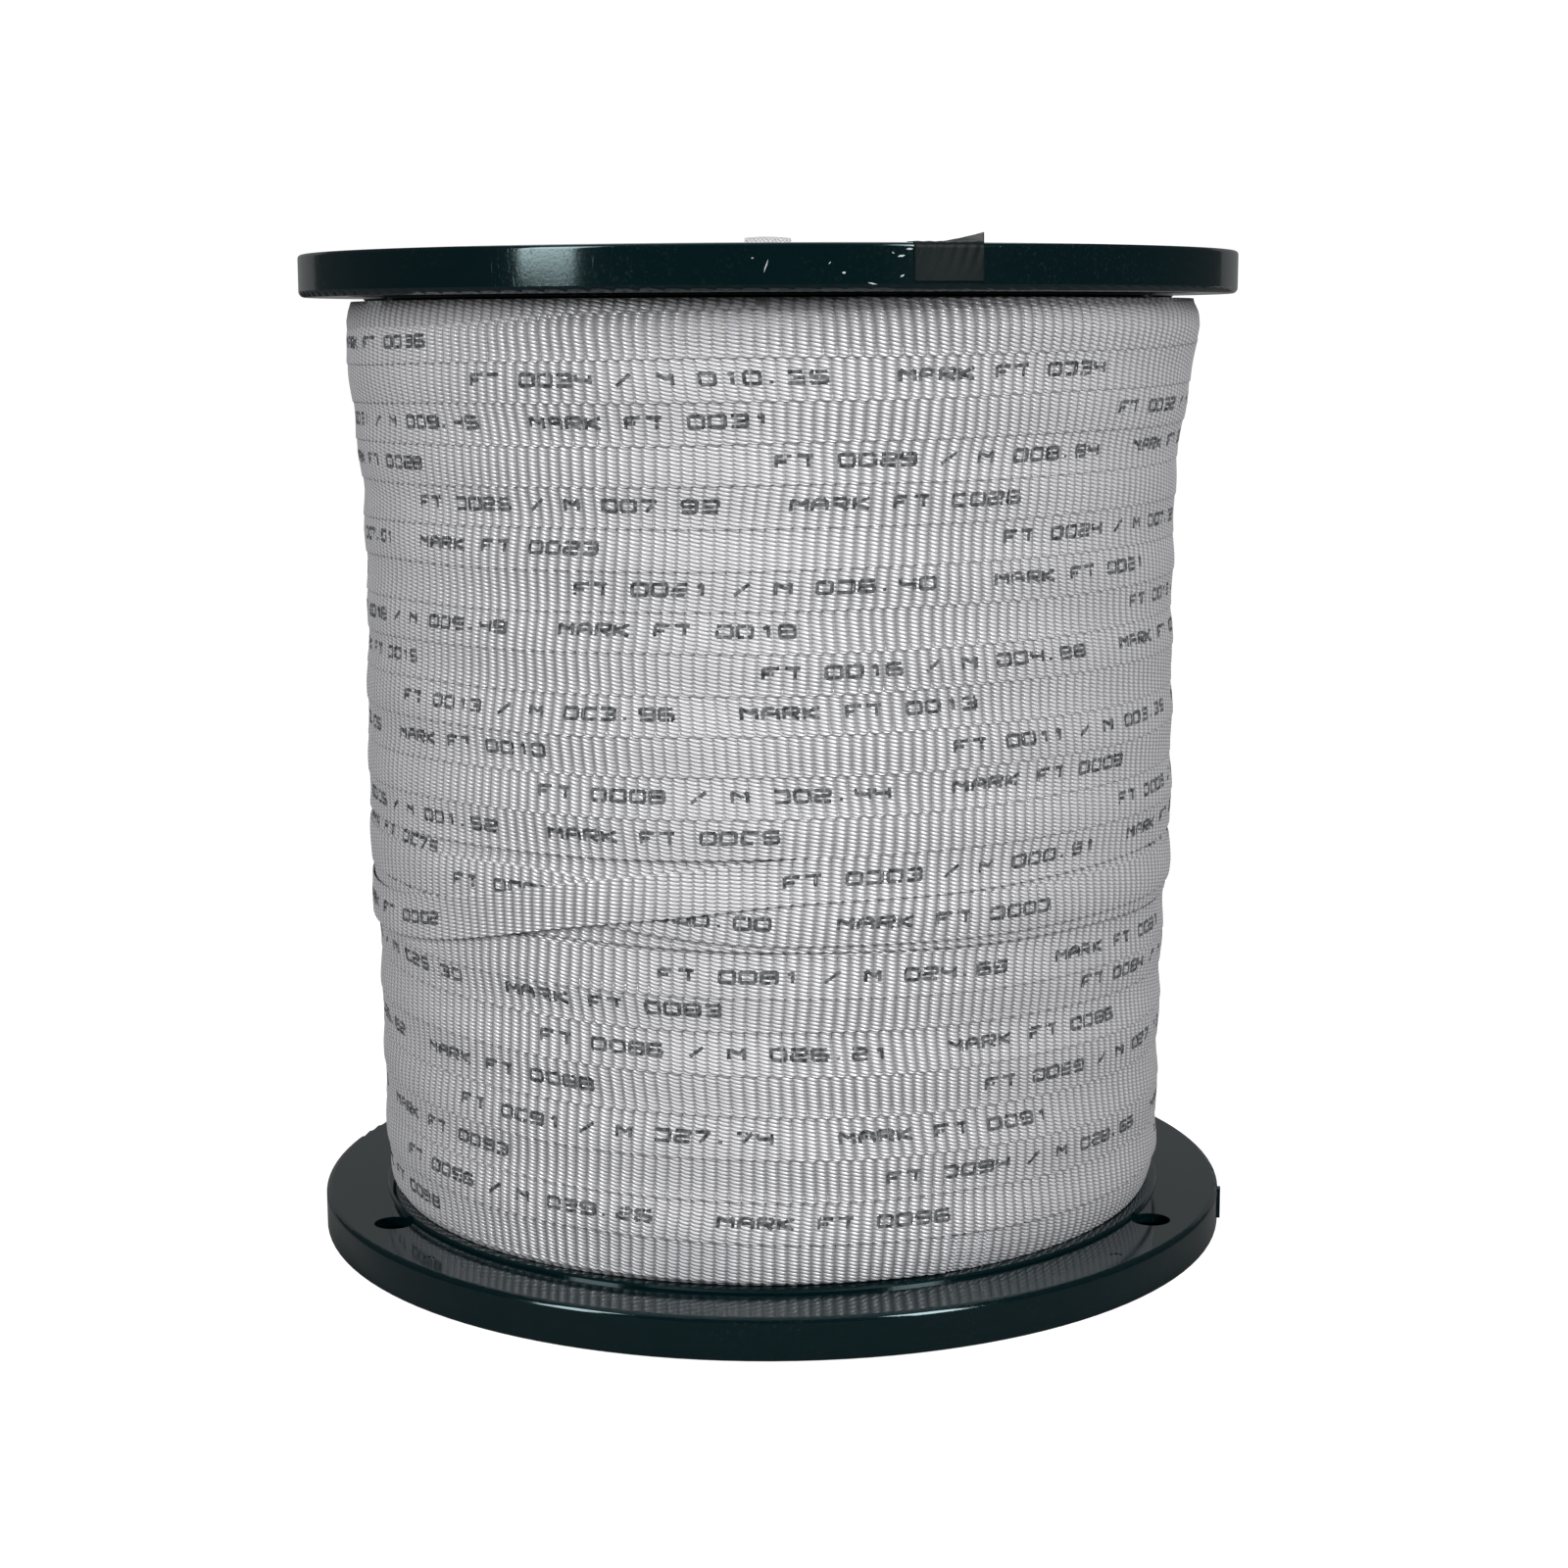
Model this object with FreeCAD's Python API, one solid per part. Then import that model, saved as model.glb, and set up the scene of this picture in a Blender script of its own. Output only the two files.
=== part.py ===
"""Reel of flat woven pulling tape: two ribbed plastic flanges bolted over a tube core, wound full of tape.

Units are millimetres. The reel stands on its lower flange: Z is the reel's own axis and the arbor's,
the origin is on that axis in the plane that the reel stands on, and -Y is the reel's front.
"""
import FreeCAD, Part
import math
import os

from FreeCAD import Vector

# ---- driving dimensions -------------------------------------------------------------------------
REEL_HEIGHT = 306.0          # outer plane of one flange to outer plane of the other
FLANGE_DIAMETER = 289.0
RIM_HEIGHT = 12.7            # depth of a flange's rim wall
RIM_WALL = 3.2
RIM_INNER_FILLET = 1.8       # rim edge on the winding side
RIM_OUTER_FILLET = 1.2       # rim edge on the floor side
WEB_THICKNESS = 3.0
PLATEAU_DIAMETER = 250.0     # raised bed that the winding's edges bear on
PLATEAU_HEIGHT = 1.2
PLATEAU_CHAMFER = 0.6

ARBOR_BORE_DIAMETER = 38.1
BUSH_WALL = 1.6
BUSH_COLLAR_WIDTH = 4.35      # beyond the bush's own wall
BUSH_COLLAR_THICKNESS = 1.5
HUB_WALL = 7.4

CORE_DIAMETER = 114.3        # outside of the tube that the tape is wound on
CORE_WALL = 4.0
CORE_CHAMFER = 0.6
SPIGOT_CLEARANCE = 0.25      # radial, between the tube's bore and each flange's spigot
SPIGOT_WALL = 3.0
SPIGOT_HEIGHT = 10.0
SPIGOT_CHAMFER = 0.8

RIB_THICKNESS = 2.0
RIB_SETBACK = 1.0            # rib edges lie this far inside the flange's outer plane
RADIAL_RIBS = 24
MIDDLE_RING_DIAMETER = 200.0
RING_THICKNESS = 2.4

BOLT_DIAMETER = 6.0
BOLT_HOLE_CLEARANCE = 0.3    # radial
BOLT_COUNT = 4
BOLT_CIRCLE_DIAMETER = 76.0
BOLT_TIP = 1.0               # thread that shows beyond the nut
BOLT_THREAD_PITCH = 1.0
BOLT_THREAD_DEPTH = 0.3
BOLT_THREAD_LENGTH = 14.0
BOLT_HEAD_HEIGHT = 4.0
NUT_HEIGHT = 5.0
HEX_ACROSS_FLATS = 10.0
HEX_CHAMFER = 0.5
WASHER_DIAMETER = 16.0
WASHER_THICKNESS = 1.6
WASHER_HOLE_CLEARANCE = 0.2  # radial
BOSS_DIAMETER = 20.0
BOSS_STAND = 1.5             # washer seats stand this far proud of the web

DRIVE_HOLE_DIAMETER = 12.7
DRIVE_CIRCLE_DIAMETER = 74.0
DRIVE_HOLE_COUNT = 2

TIE_HOLE_DIAMETER = 12.0
TIE_HOLE_SPACING_X = 232.6   # four holes at the corners of a rectangle
TIE_HOLE_SPACING_Y = 118.4

SLOT_END_CLEARANCE = 0.65    # tape's edges to the ends of a start slot
SLOT_WIDTH = 6.0             # start slot, along the radius
SLOT_CORNER = 1.5
SLOT_GAP = 2.4               # outside of the core tube to the slot's near side

EJECTOR_MARK_DIAMETER = 3.6
EJECTOR_MARK_DEPTH = 0.2
EJECTOR_MARK_RADIUS = 137.2
EJECTOR_MARK_ANGLE = 42.2    # from the X axis, in each quadrant

GATE_NUB_HEIGHT = 9.6
GATE_NUB_WIDTH = 3.0
GATE_NUB_PROUD = 0.9
GATE_NUB_ANGLE = -9.0

TAPE_WIDTH = 12.7
TAPE_THICKNESS = 1.0
TURNS_PER_LAYER = 24
OUTER_LAYER_TURNS = 16       # the last layer stops part of the way down
WOUND_DIAMETER = 252.8       # over the outer layer at mid height
TOP_SWELL = 7.6              # how far the winding swells at the upper flange
TOP_SWELL_REACH = 27.0       # height over which the swell fades
TOP_CORNER = 5.0             # the last turn leans in here
TURN_GROOVE = 0.35           # hollow between one turn and the next

TAIL_CLEARANCE = 0.3         # tail to the winding below its start, and to the web under its end
TAIL_STAND = 0.6             # straight length in the slot, before the first bend
TAIL_BEND = 13.0             # radius at the slot
TAIL_RISE_ANGLE = 10.0       # slope left when that bend ends
TAIL_RISE_LENGTH = 12.0
TAIL_CROWN = 60.0            # radius over the top of the arch
TAIL_FALL_ANGLE = 32.0       # slope down to the web

STICKER_WIDTH = 20.0
STICKER_THICKNESS = 0.25
STICKER_DROP = 10.0          # length on the rim's side
STICKER_FOLD = 6.5           # length folded over the rim's top
STICKER_ANGLE = -70.7

# ---- sizes that follow from them ------------------------------------------------------------------
FLANGE_RADIUS = FLANGE_DIAMETER / 2
PLATEAU_RADIUS = PLATEAU_DIAMETER / 2
BED_HEIGHT = RIM_HEIGHT + PLATEAU_HEIGHT         # outer plane to the winding's bed
WEB_OUTER = RIM_HEIGHT - WEB_THICKNESS           # outer plane to the web
BUSH_RADIUS = ARBOR_BORE_DIAMETER / 2 + BUSH_WALL
BUSH_COLLAR_RADIUS = BUSH_RADIUS + BUSH_COLLAR_WIDTH
HUB_RADIUS = BUSH_RADIUS + HUB_WALL
BOSS_DEPTH = WEB_OUTER - BOSS_STAND              # outer plane to the face that a washer bears on
CORE_RADIUS = CORE_DIAMETER / 2
SPIGOT_RADIUS = CORE_RADIUS - CORE_WALL - SPIGOT_CLEARANCE
WOUND_LENGTH = REEL_HEIGHT - 2 * BED_HEIGHT
TURN_PITCH = WOUND_LENGTH / TURNS_PER_LAYER
WINDING_TOP = REEL_HEIGHT - BED_HEIGHT
OUTER_LAYER_BOTTOM = WINDING_TOP - OUTER_LAYER_TURNS * TURN_PITCH
SLOT_RADIUS = CORE_RADIUS + SLOT_GAP + SLOT_WIDTH / 2
SLOT_LENGTH = TAPE_WIDTH + 2 * SLOT_END_CLEARANCE
BOLT_HOLE_RADIUS = BOLT_DIAMETER / 2 + BOLT_HOLE_CLEARANCE
Z_AXIS = Vector(0, 0, 1)
ORIGIN = Vector(0, 0, 0)


def ring_points(radius, count, first_angle):
    """Centres of count features spread evenly on a circle, as (angle in degrees, x, y)."""
    found = []
    for step in range(count):
        angle = first_angle + 360.0 * step / count
        found.append((angle, radius * math.cos(math.radians(angle)), radius * math.sin(math.radians(angle))))
    return found


def turned(points, angle=360.0):
    """Solid of revolution about Z from a closed outline of (radius, height) points."""
    corners = [Vector(radius, 0, height) for radius, height in points]
    face = Part.Face(Part.makePolygon(corners + corners[:1]))
    return face.revolve(ORIGIN, Z_AXIS, angle)


def cylinder(diameter, bottom, top, x=0.0, y=0.0):
    return Part.makeCylinder(diameter / 2, top - bottom, Vector(x, y, bottom), Z_AXIS)


def washer(x, y, bottom):
    disc = cylinder(WASHER_DIAMETER, bottom, bottom + WASHER_THICKNESS, x, y)
    hole_diameter = BOLT_DIAMETER + 2 * WASHER_HOLE_CLEARANCE
    return disc.cut(cylinder(hole_diameter, bottom, bottom + WASHER_THICKNESS, x, y))


def hexagon(x, y, bottom, height):
    """Hexagon prism with its corners chamfered by a cone at both ends."""
    corner_radius = HEX_ACROSS_FLATS / math.sqrt(3)
    corners = [Vector(px, py, bottom) for _, px, py in ring_points(corner_radius, 6, 0.0)]
    prism = Part.Face(Part.makePolygon(corners + corners[:1])).extrude(Vector(0, 0, height))
    limit = turned([
        (0, bottom),
        (corner_radius - HEX_CHAMFER, bottom),
        (corner_radius, bottom + HEX_CHAMFER),
        (corner_radius, bottom + height - HEX_CHAMFER),
        (corner_radius - HEX_CHAMFER, bottom + height),
        (0, bottom + height),
    ])
    shape = prism.common(limit)
    shape.translate(Vector(x, y, 0))
    return shape


# ---- flanges --------------------------------------------------------------------------------------
def flange_outline():
    """Half section of a flange: hub, spigot, plateau, rim and ring ribs in one wire."""
    def at(radius, height):
        return Vector(radius, 0, height)

    def ring_rib(radius):
        return [
            at(radius + RING_THICKNESS / 2, WEB_OUTER),
            at(radius + RING_THICKNESS / 2, RIB_SETBACK),
            at(radius - RING_THICKNESS / 2, RIB_SETBACK),
            at(radius - RING_THICKNESS / 2, WEB_OUTER),
        ]

    inner_side = [
        at(BUSH_RADIUS, BUSH_COLLAR_THICKNESS),
        at(BUSH_RADIUS, BED_HEIGHT),
        at(SPIGOT_RADIUS - SPIGOT_WALL, BED_HEIGHT),
        at(SPIGOT_RADIUS - SPIGOT_WALL, BED_HEIGHT + SPIGOT_HEIGHT),
        at(SPIGOT_RADIUS - SPIGOT_CHAMFER, BED_HEIGHT + SPIGOT_HEIGHT),
        at(SPIGOT_RADIUS, BED_HEIGHT + SPIGOT_HEIGHT - SPIGOT_CHAMFER),
        at(SPIGOT_RADIUS, BED_HEIGHT),
        at(PLATEAU_RADIUS - PLATEAU_CHAMFER, BED_HEIGHT),
        at(PLATEAU_RADIUS, BED_HEIGHT - PLATEAU_CHAMFER),
        at(PLATEAU_RADIUS, RIM_HEIGHT),
        at(FLANGE_RADIUS - RIM_INNER_FILLET, RIM_HEIGHT),
    ]
    outer_side = [
        at(FLANGE_RADIUS - RIM_OUTER_FILLET, 0),
        at(FLANGE_RADIUS - RIM_WALL, 0),
        at(FLANGE_RADIUS - RIM_WALL, WEB_OUTER),
        *ring_rib(MIDDLE_RING_DIAMETER / 2),
        *ring_rib(CORE_RADIUS - CORE_WALL / 2),
        at(HUB_RADIUS, WEB_OUTER),
        at(HUB_RADIUS, 0),
        at(BUSH_COLLAR_RADIUS, 0),
        at(BUSH_COLLAR_RADIUS, BUSH_COLLAR_THICKNESS),
        inner_side[0],
    ]

    def rounded(start, end, centre, radius, middle_angle):
        middle = centre + Vector(math.cos(middle_angle), 0, math.sin(middle_angle)) * radius
        return Part.Arc(start, middle, end).toShape()

    inner_corner = at(FLANGE_RADIUS - RIM_INNER_FILLET, RIM_HEIGHT - RIM_INNER_FILLET)
    outer_corner = at(FLANGE_RADIUS - RIM_OUTER_FILLET, RIM_OUTER_FILLET)
    side_top = at(FLANGE_RADIUS, RIM_HEIGHT - RIM_INNER_FILLET)
    side_bottom = at(FLANGE_RADIUS, RIM_OUTER_FILLET)
    edges = Part.makePolygon(inner_side).Edges
    edges.append(rounded(inner_side[-1], side_top, inner_corner, RIM_INNER_FILLET, math.pi / 4))
    edges.append(Part.makeLine(side_top, side_bottom))
    edges.append(rounded(side_bottom, outer_side[0], outer_corner, RIM_OUTER_FILLET, -math.pi / 4))
    edges += Part.makePolygon(outer_side).Edges
    return Part.Wire(edges)


def rib(angle, start_radius, end_radius):
    """Straight radial rib on the flange's outer side, let into the rings that it joins."""
    overlap = RING_THICKNESS / 4
    length = end_radius - start_radius + 2 * overlap
    depth = WEB_OUTER - RIB_SETBACK + overlap
    shape = Part.makeBox(
        length, RIB_THICKNESS, depth, Vector(start_radius - overlap, -RIB_THICKNESS / 2, RIB_SETBACK)
    )
    shape.rotate(ORIGIN, Z_AXIS, angle)
    return shape


def start_slot(angle):
    """Slot with rounded corners through the web, beside the core tube, for the tape's inner end."""
    corner = Vector(SLOT_RADIUS - SLOT_WIDTH / 2, -SLOT_LENGTH / 2, 0)
    cutter = Part.makeBox(SLOT_WIDTH, SLOT_LENGTH, BED_HEIGHT, corner)
    upright = [edge for edge in cutter.Edges if abs(edge.tangentAt(edge.FirstParameter).z) > 0.9]
    cutter = cutter.makeFillet(SLOT_CORNER, upright)
    cutter.rotate(ORIGIN, Z_AXIS, angle)
    return cutter


def beside_slot(angle):
    """Cuts back the two ribs that flank a start slot until the tape passes between them; none if it already does."""
    half_turn = math.radians(180.0 / RADIAL_RIBS)
    slot_side = SLOT_RADIUS + SLOT_WIDTH / 2
    clear_radius = (SLOT_LENGTH + RIB_THICKNESS) / 2 / math.sin(half_turn)
    if clear_radius <= slot_side:
        return []
    cutter = Part.makeBox(
        clear_radius - slot_side + SLOT_CORNER, SLOT_LENGTH, WEB_OUTER, Vector(slot_side - SLOT_CORNER, -SLOT_LENGTH / 2, 0)
    )
    cutter.rotate(ORIGIN, Z_AXIS, angle)
    return [cutter]


def tie_hole_centres():
    return [
        (side_x * TIE_HOLE_SPACING_X / 2, side_y * TIE_HOLE_SPACING_Y / 2)
        for side_x in (-1, 1)
        for side_y in (-1, 1)
    ]


def bolt_centres():
    return ring_points(BOLT_CIRCLE_DIAMETER / 2, BOLT_COUNT, 180.0 / BOLT_COUNT)


def lower_flange():
    """The moulding that both flanges are made from, winding side up."""
    body = Part.Face(flange_outline()).revolve(ORIGIN, Z_AXIS, 360)
    ring_inner = CORE_RADIUS - CORE_WALL / 2
    ribs = []
    for angle, _, _ in ring_points(1.0, RADIAL_RIBS, 180.0 / RADIAL_RIBS):
        ribs.append(rib(angle, ring_inner + RING_THICKNESS / 2, MIDDLE_RING_DIAMETER / 2 - RING_THICKNESS / 2))
        ribs.append(rib(angle, MIDDLE_RING_DIAMETER / 2 + RING_THICKNESS / 2, FLANGE_RADIUS - RIM_WALL))
    for angle, x, y in bolt_centres():
        ribs.append(rib(angle, HUB_RADIUS, ring_inner - RING_THICKNESS / 2))
        ribs.append(cylinder(BOSS_DIAMETER, BOSS_DEPTH, WEB_OUTER + PLATEAU_CHAMFER, x, y))
    body = body.multiFuse(ribs)

    cutters = []
    spigot_top = BED_HEIGHT + SPIGOT_HEIGHT
    for _, x, y in bolt_centres():
        cutters.append(cylinder(2 * BOLT_HOLE_RADIUS, 0, spigot_top, x, y))
        cutters.append(cylinder(BOSS_DIAMETER - RIB_THICKNESS, 0, BOSS_DEPTH, x, y))
    for _, x, y in ring_points(DRIVE_CIRCLE_DIAMETER / 2, DRIVE_HOLE_COUNT, 0.0):
        cutters.append(cylinder(DRIVE_HOLE_DIAMETER, 0, spigot_top, x, y))
    for x, y in tie_hole_centres():
        cutters.append(cylinder(TIE_HOLE_DIAMETER, 0, BED_HEIGHT, x, y))
    for angle in (90.0, -90.0):
        cutters.append(start_slot(angle))
        cutters += beside_slot(angle)
    for side in (0.0, 180.0):
        for angle in (side - EJECTOR_MARK_ANGLE, side + EJECTOR_MARK_ANGLE):
            x = EJECTOR_MARK_RADIUS * math.cos(math.radians(angle))
            y = EJECTOR_MARK_RADIUS * math.sin(math.radians(angle))
            cutters.append(cylinder(EJECTOR_MARK_DIAMETER, RIM_HEIGHT - EJECTOR_MARK_DEPTH, RIM_HEIGHT, x, y))
    body = body.cut(Part.makeCompound(cutters))

    nub = Part.makeBox(
        RIM_WALL / 2 + GATE_NUB_PROUD,
        GATE_NUB_WIDTH,
        GATE_NUB_HEIGHT,
        Vector(FLANGE_RADIUS - RIM_WALL / 2, -GATE_NUB_WIDTH / 2, (RIM_HEIGHT - GATE_NUB_HEIGHT) / 2),
    )
    nub.rotate(ORIGIN, Z_AXIS, GATE_NUB_ANGLE)
    return body.fuse(nub).removeSplitter()


def to_upper_end(shape):
    """The same piece turned over about the X axis and set at the reel's upper end."""
    moved = shape.copy()
    moved.rotate(ORIGIN, Vector(1, 0, 0), 180)
    moved.translate(Vector(0, 0, REEL_HEIGHT))
    return moved


def lower_arbor_bush():
    """Collared steel sleeve pressed into a flange's hub, collar flush with the outer plane."""
    bore = ARBOR_BORE_DIAMETER / 2
    return turned([
        (bore, 0),
        (BUSH_COLLAR_RADIUS, 0),
        (BUSH_COLLAR_RADIUS, BUSH_COLLAR_THICKNESS),
        (BUSH_RADIUS, BUSH_COLLAR_THICKNESS),
        (BUSH_RADIUS, BED_HEIGHT),
        (bore, BED_HEIGHT),
    ])


# ---- core and fasteners -----------------------------------------------------------------------------
def core_tube():
    inside = CORE_RADIUS - CORE_WALL
    return turned([
        (inside + CORE_CHAMFER, BED_HEIGHT),
        (CORE_RADIUS, BED_HEIGHT),
        (CORE_RADIUS, WINDING_TOP),
        (inside + CORE_CHAMFER, WINDING_TOP),
        (inside, WINDING_TOP - CORE_CHAMFER),
        (inside, BED_HEIGHT + CORE_CHAMFER),
    ])


def tie_bolt(x, y):
    """Hexagon bolt through both flanges, head at the upper end and thread at the lower."""
    radius = BOLT_DIAMETER / 2
    head_seat = REEL_HEIGHT - BOSS_DEPTH + WASHER_THICKNESS
    tip = BOSS_DEPTH - WASHER_THICKNESS - NUT_HEIGHT - BOLT_TIP
    outline = [(0, head_seat), (radius, head_seat)]
    grooves = int(BOLT_THREAD_LENGTH / BOLT_THREAD_PITCH)
    for groove in range(grooves, 0, -1):
        crest = tip + groove * BOLT_THREAD_PITCH
        outline.append((radius, crest))
        outline.append((radius - BOLT_THREAD_DEPTH, crest - BOLT_THREAD_PITCH / 2))
    outline += [(radius - BOLT_THREAD_DEPTH, tip), (0, tip)]
    shank = turned(outline)
    shank.translate(Vector(x, y, 0))
    return shank.fuse(hexagon(x, y, head_seat, BOLT_HEAD_HEIGHT))


def nut(x, y):
    bottom = BOSS_DEPTH - WASHER_THICKNESS - NUT_HEIGHT
    return hexagon(x, y, bottom, NUT_HEIGHT).cut(cylinder(BOLT_DIAMETER, bottom, bottom + NUT_HEIGHT, x, y))


# ---- tape -----------------------------------------------------------------------------------------------
def wound_radius(height):
    """Outside of the outer layer at a height: nearly straight, swelling towards the upper flange."""
    return WOUND_DIAMETER / 2 + TOP_SWELL * math.exp((height - WINDING_TOP) / TOP_SWELL_REACH)


def turn_heights(first, count):
    return [first + step * TURN_PITCH for step in range(count + 1)]


def grooved(heights, depth_below):
    """Outline points down a layer's outside, with a small hollow between each two turns."""
    points = []
    for height in heights:
        radius = wound_radius(height) - depth_below
        if height in (heights[0], heights[-1]):
            points.append((radius - TURN_GROOVE, height))
            continue
        points.append((radius, height - TURN_GROOVE))
        points.append((radius - TURN_GROOVE, height))
        points.append((radius, height + TURN_GROOVE))
    return points


def plain(heights, depth_below):
    return [(wound_radius(height) - depth_below, height) for height in heights]


def tape_outer_layer():
    """The last layer wound: from the upper flange down to the tucked free end."""
    heights = turn_heights(OUTER_LAYER_BOTTOM, OUTER_LAYER_TURNS)
    outside = grooved(heights, 0.0)
    crown_height = WINDING_TOP - TOP_CORNER
    outside = [point for point in outside if point[1] < crown_height]
    outside += [(wound_radius(crown_height), crown_height), (wound_radius(WINDING_TOP) - TOP_CORNER, WINDING_TOP)]
    inside = [point for point in plain(heights, TAPE_THICKNESS) if point[1] < crown_height]
    inside += [
        (wound_radius(crown_height) - TAPE_THICKNESS, crown_height),
        (wound_radius(WINDING_TOP) - TOP_CORNER - TAPE_THICKNESS, WINDING_TOP),
    ]
    return turned(outside + inside[::-1])


def tape_second_layer():
    """The layer below it, from flange to flange, seen where the outer layer stops."""
    crown_height = WINDING_TOP - TOP_CORNER
    bare_turns = TURNS_PER_LAYER - OUTER_LAYER_TURNS
    outside = grooved(turn_heights(BED_HEIGHT, bare_turns), TAPE_THICKNESS)
    covered = plain(turn_heights(OUTER_LAYER_BOTTOM, OUTER_LAYER_TURNS), TAPE_THICKNESS)
    outside = outside[:-1] + [point for point in covered if point[1] < crown_height]
    inside = plain(turn_heights(BED_HEIGHT, TURNS_PER_LAYER), 2 * TAPE_THICKNESS)
    inside = [point for point in inside if point[1] < crown_height]
    for depth, outline in ((TAPE_THICKNESS, outside), (2 * TAPE_THICKNESS, inside)):
        outline.append((wound_radius(crown_height) - depth, crown_height))
        outline.append((wound_radius(WINDING_TOP) - TOP_CORNER - depth, WINDING_TOP))
    return turned(outside + inside[::-1])


def tape_inner_layers():
    """All the layers below those two, down to the core tube."""
    crown_height = WINDING_TOP - TOP_CORNER
    outside = plain(turn_heights(BED_HEIGHT, TURNS_PER_LAYER), 2 * TAPE_THICKNESS)
    outside = [point for point in outside if point[1] < crown_height]
    outside.append((wound_radius(crown_height) - 2 * TAPE_THICKNESS, crown_height))
    outside.append((wound_radius(WINDING_TOP) - TOP_CORNER - 2 * TAPE_THICKNESS, WINDING_TOP))
    return turned(outside + [(CORE_RADIUS, WINDING_TOP), (CORE_RADIUS, BED_HEIGHT)])


def tape_tail():
    """The tape's inner end: up through the upper flange's start slot and over in an arch to the web."""
    rise, fall = math.radians(TAIL_RISE_ANGLE), math.radians(TAIL_FALL_ANGLE)
    start = Vector(SLOT_RADIUS - SLOT_WIDTH / 10, 0, WINDING_TOP + TAIL_CLEARANCE)
    bend_start = start + Vector(0, 0, TAIL_STAND)
    rest_height = REEL_HEIGHT - WEB_OUTER + TAIL_CLEARANCE + TAPE_THICKNESS / 2

    def side(offset):
        """One face of the tape, offset from its middle, as edges in the XZ plane."""
        bend_centre = bend_start + Vector(TAIL_BEND, 0, 0)
        bend = TAIL_BEND + offset

        def on_bend(angle):
            return bend_centre + Vector(-math.cos(angle), 0, math.sin(angle)) * bend

        bend_turn = math.pi / 2 - rise
        along = Vector(math.cos(rise), 0, math.sin(rise))
        crown_start = on_bend(bend_turn) + along * TAIL_RISE_LENGTH
        crown_centre = crown_start - Vector(-math.sin(rise), 0, math.cos(rise)) * (TAIL_CROWN + offset)

        def on_crown(slope):
            return crown_centre + Vector(-math.sin(slope), 0, math.cos(slope)) * (TAIL_CROWN + offset)

        down = Vector(math.cos(fall), 0, -math.sin(fall))
        crown_end = on_crown(-fall)
        last = crown_end + down * ((crown_end.z - offset - rest_height) / math.sin(fall))
        return [
            Part.makeLine(start + Vector(-offset, 0, 0), on_bend(0.0)),
            Part.Arc(on_bend(0.0), on_bend(bend_turn / 2), on_bend(bend_turn)).toShape(),
            Part.makeLine(on_bend(bend_turn), crown_start),
            Part.Arc(crown_start, on_crown((rise - fall) / 2), crown_end).toShape(),
            Part.makeLine(crown_end, last),
        ]

    upper, lower = side(TAPE_THICKNESS / 2), side(-TAPE_THICKNESS / 2)
    ends = [
        Part.makeLine(upper[0].Vertexes[0].Point, lower[0].Vertexes[0].Point),
        Part.makeLine(upper[-1].Vertexes[-1].Point, lower[-1].Vertexes[-1].Point),
    ]
    outline = Part.Wire(Part.__sortEdges__(upper + lower + ends))
    strip = Part.Face(outline).extrude(Vector(0, TAPE_WIDTH, 0))
    strip.translate(Vector(0, -TAPE_WIDTH / 2, 0))
    strip.rotate(ORIGIN, Z_AXIS, -90)
    return strip


def rim_sticker():
    """Plain adhesive strip on the upper flange's rim, folded over its top edge."""
    outside = FLANGE_RADIUS + STICKER_THICKNESS
    top = REEL_HEIGHT + STICKER_THICKNESS
    sweep = math.degrees(STICKER_WIDTH / FLANGE_RADIUS)
    strip = turned([
        (FLANGE_RADIUS, REEL_HEIGHT - STICKER_DROP),
        (outside, REEL_HEIGHT - STICKER_DROP),
        (outside, top),
        (FLANGE_RADIUS - STICKER_FOLD, top),
        (FLANGE_RADIUS - STICKER_FOLD, REEL_HEIGHT),
        (FLANGE_RADIUS, REEL_HEIGHT),
    ], sweep)
    strip.rotate(ORIGIN, Z_AXIS, STICKER_ANGLE - sweep / 2)
    return strip


# ---- assembly ------------------------------------------------------------------------------------------
def at_each_bolt(make):
    return Part.makeCompound([make(x, y) for _, x, y in bolt_centres()])


def nodes():
    flange, bush = lower_flange(), lower_arbor_bush()
    upper_seat, lower_seat = REEL_HEIGHT - BOSS_DEPTH, BOSS_DEPTH - WASHER_THICKNESS
    return {
        "lower_flange": flange,
        "upper_flange": to_upper_end(flange),
        "lower_arbor_bush": bush,
        "upper_arbor_bush": to_upper_end(bush),
        "core_tube": core_tube(),
        "tie_bolts": at_each_bolt(tie_bolt),
        "head_washers": at_each_bolt(lambda x, y: washer(x, y, upper_seat)),
        "nut_washers": at_each_bolt(lambda x, y: washer(x, y, lower_seat)),
        "tie_bolt_nuts": at_each_bolt(nut),
        "tape_inner_layers": tape_inner_layers(),
        "tape_second_layer": tape_second_layer(),
        "tape_outer_layer": tape_outer_layer(),
        "tape_tail": tape_tail(),
        "rim_sticker": rim_sticker(),
    }


def main():
    os.makedirs("parts", exist_ok=True)
    for name, shape in nodes().items():
        for solid in shape.Solids:
            if not solid.isValid() or solid.Volume <= 0:
                raise ValueError(f"{name} holds a solid that is not sound")
        shape.exportStep(f"parts/{name}.step")
        print(f"{name}: {len(shape.Solids)} solid(s), {sum(s.Volume for s in shape.Solids) / 1000:.2f} cm3")


main()
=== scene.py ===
# %% [markdown]
# # A reel of flat woven pulling tape
# The reel is two glossy black flanges bolted over a tube, wound full of flat white tape. Its flanges, bushes
# and bolts come in as a fixed frame. This lesson adds the tape as woven strips, prints its marks, finishes
# every surface and sets up a small studio.

# %% Load the frame
import math
import random

import bpy
import numpy as np
from mathutils import Matrix, Vector


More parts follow.
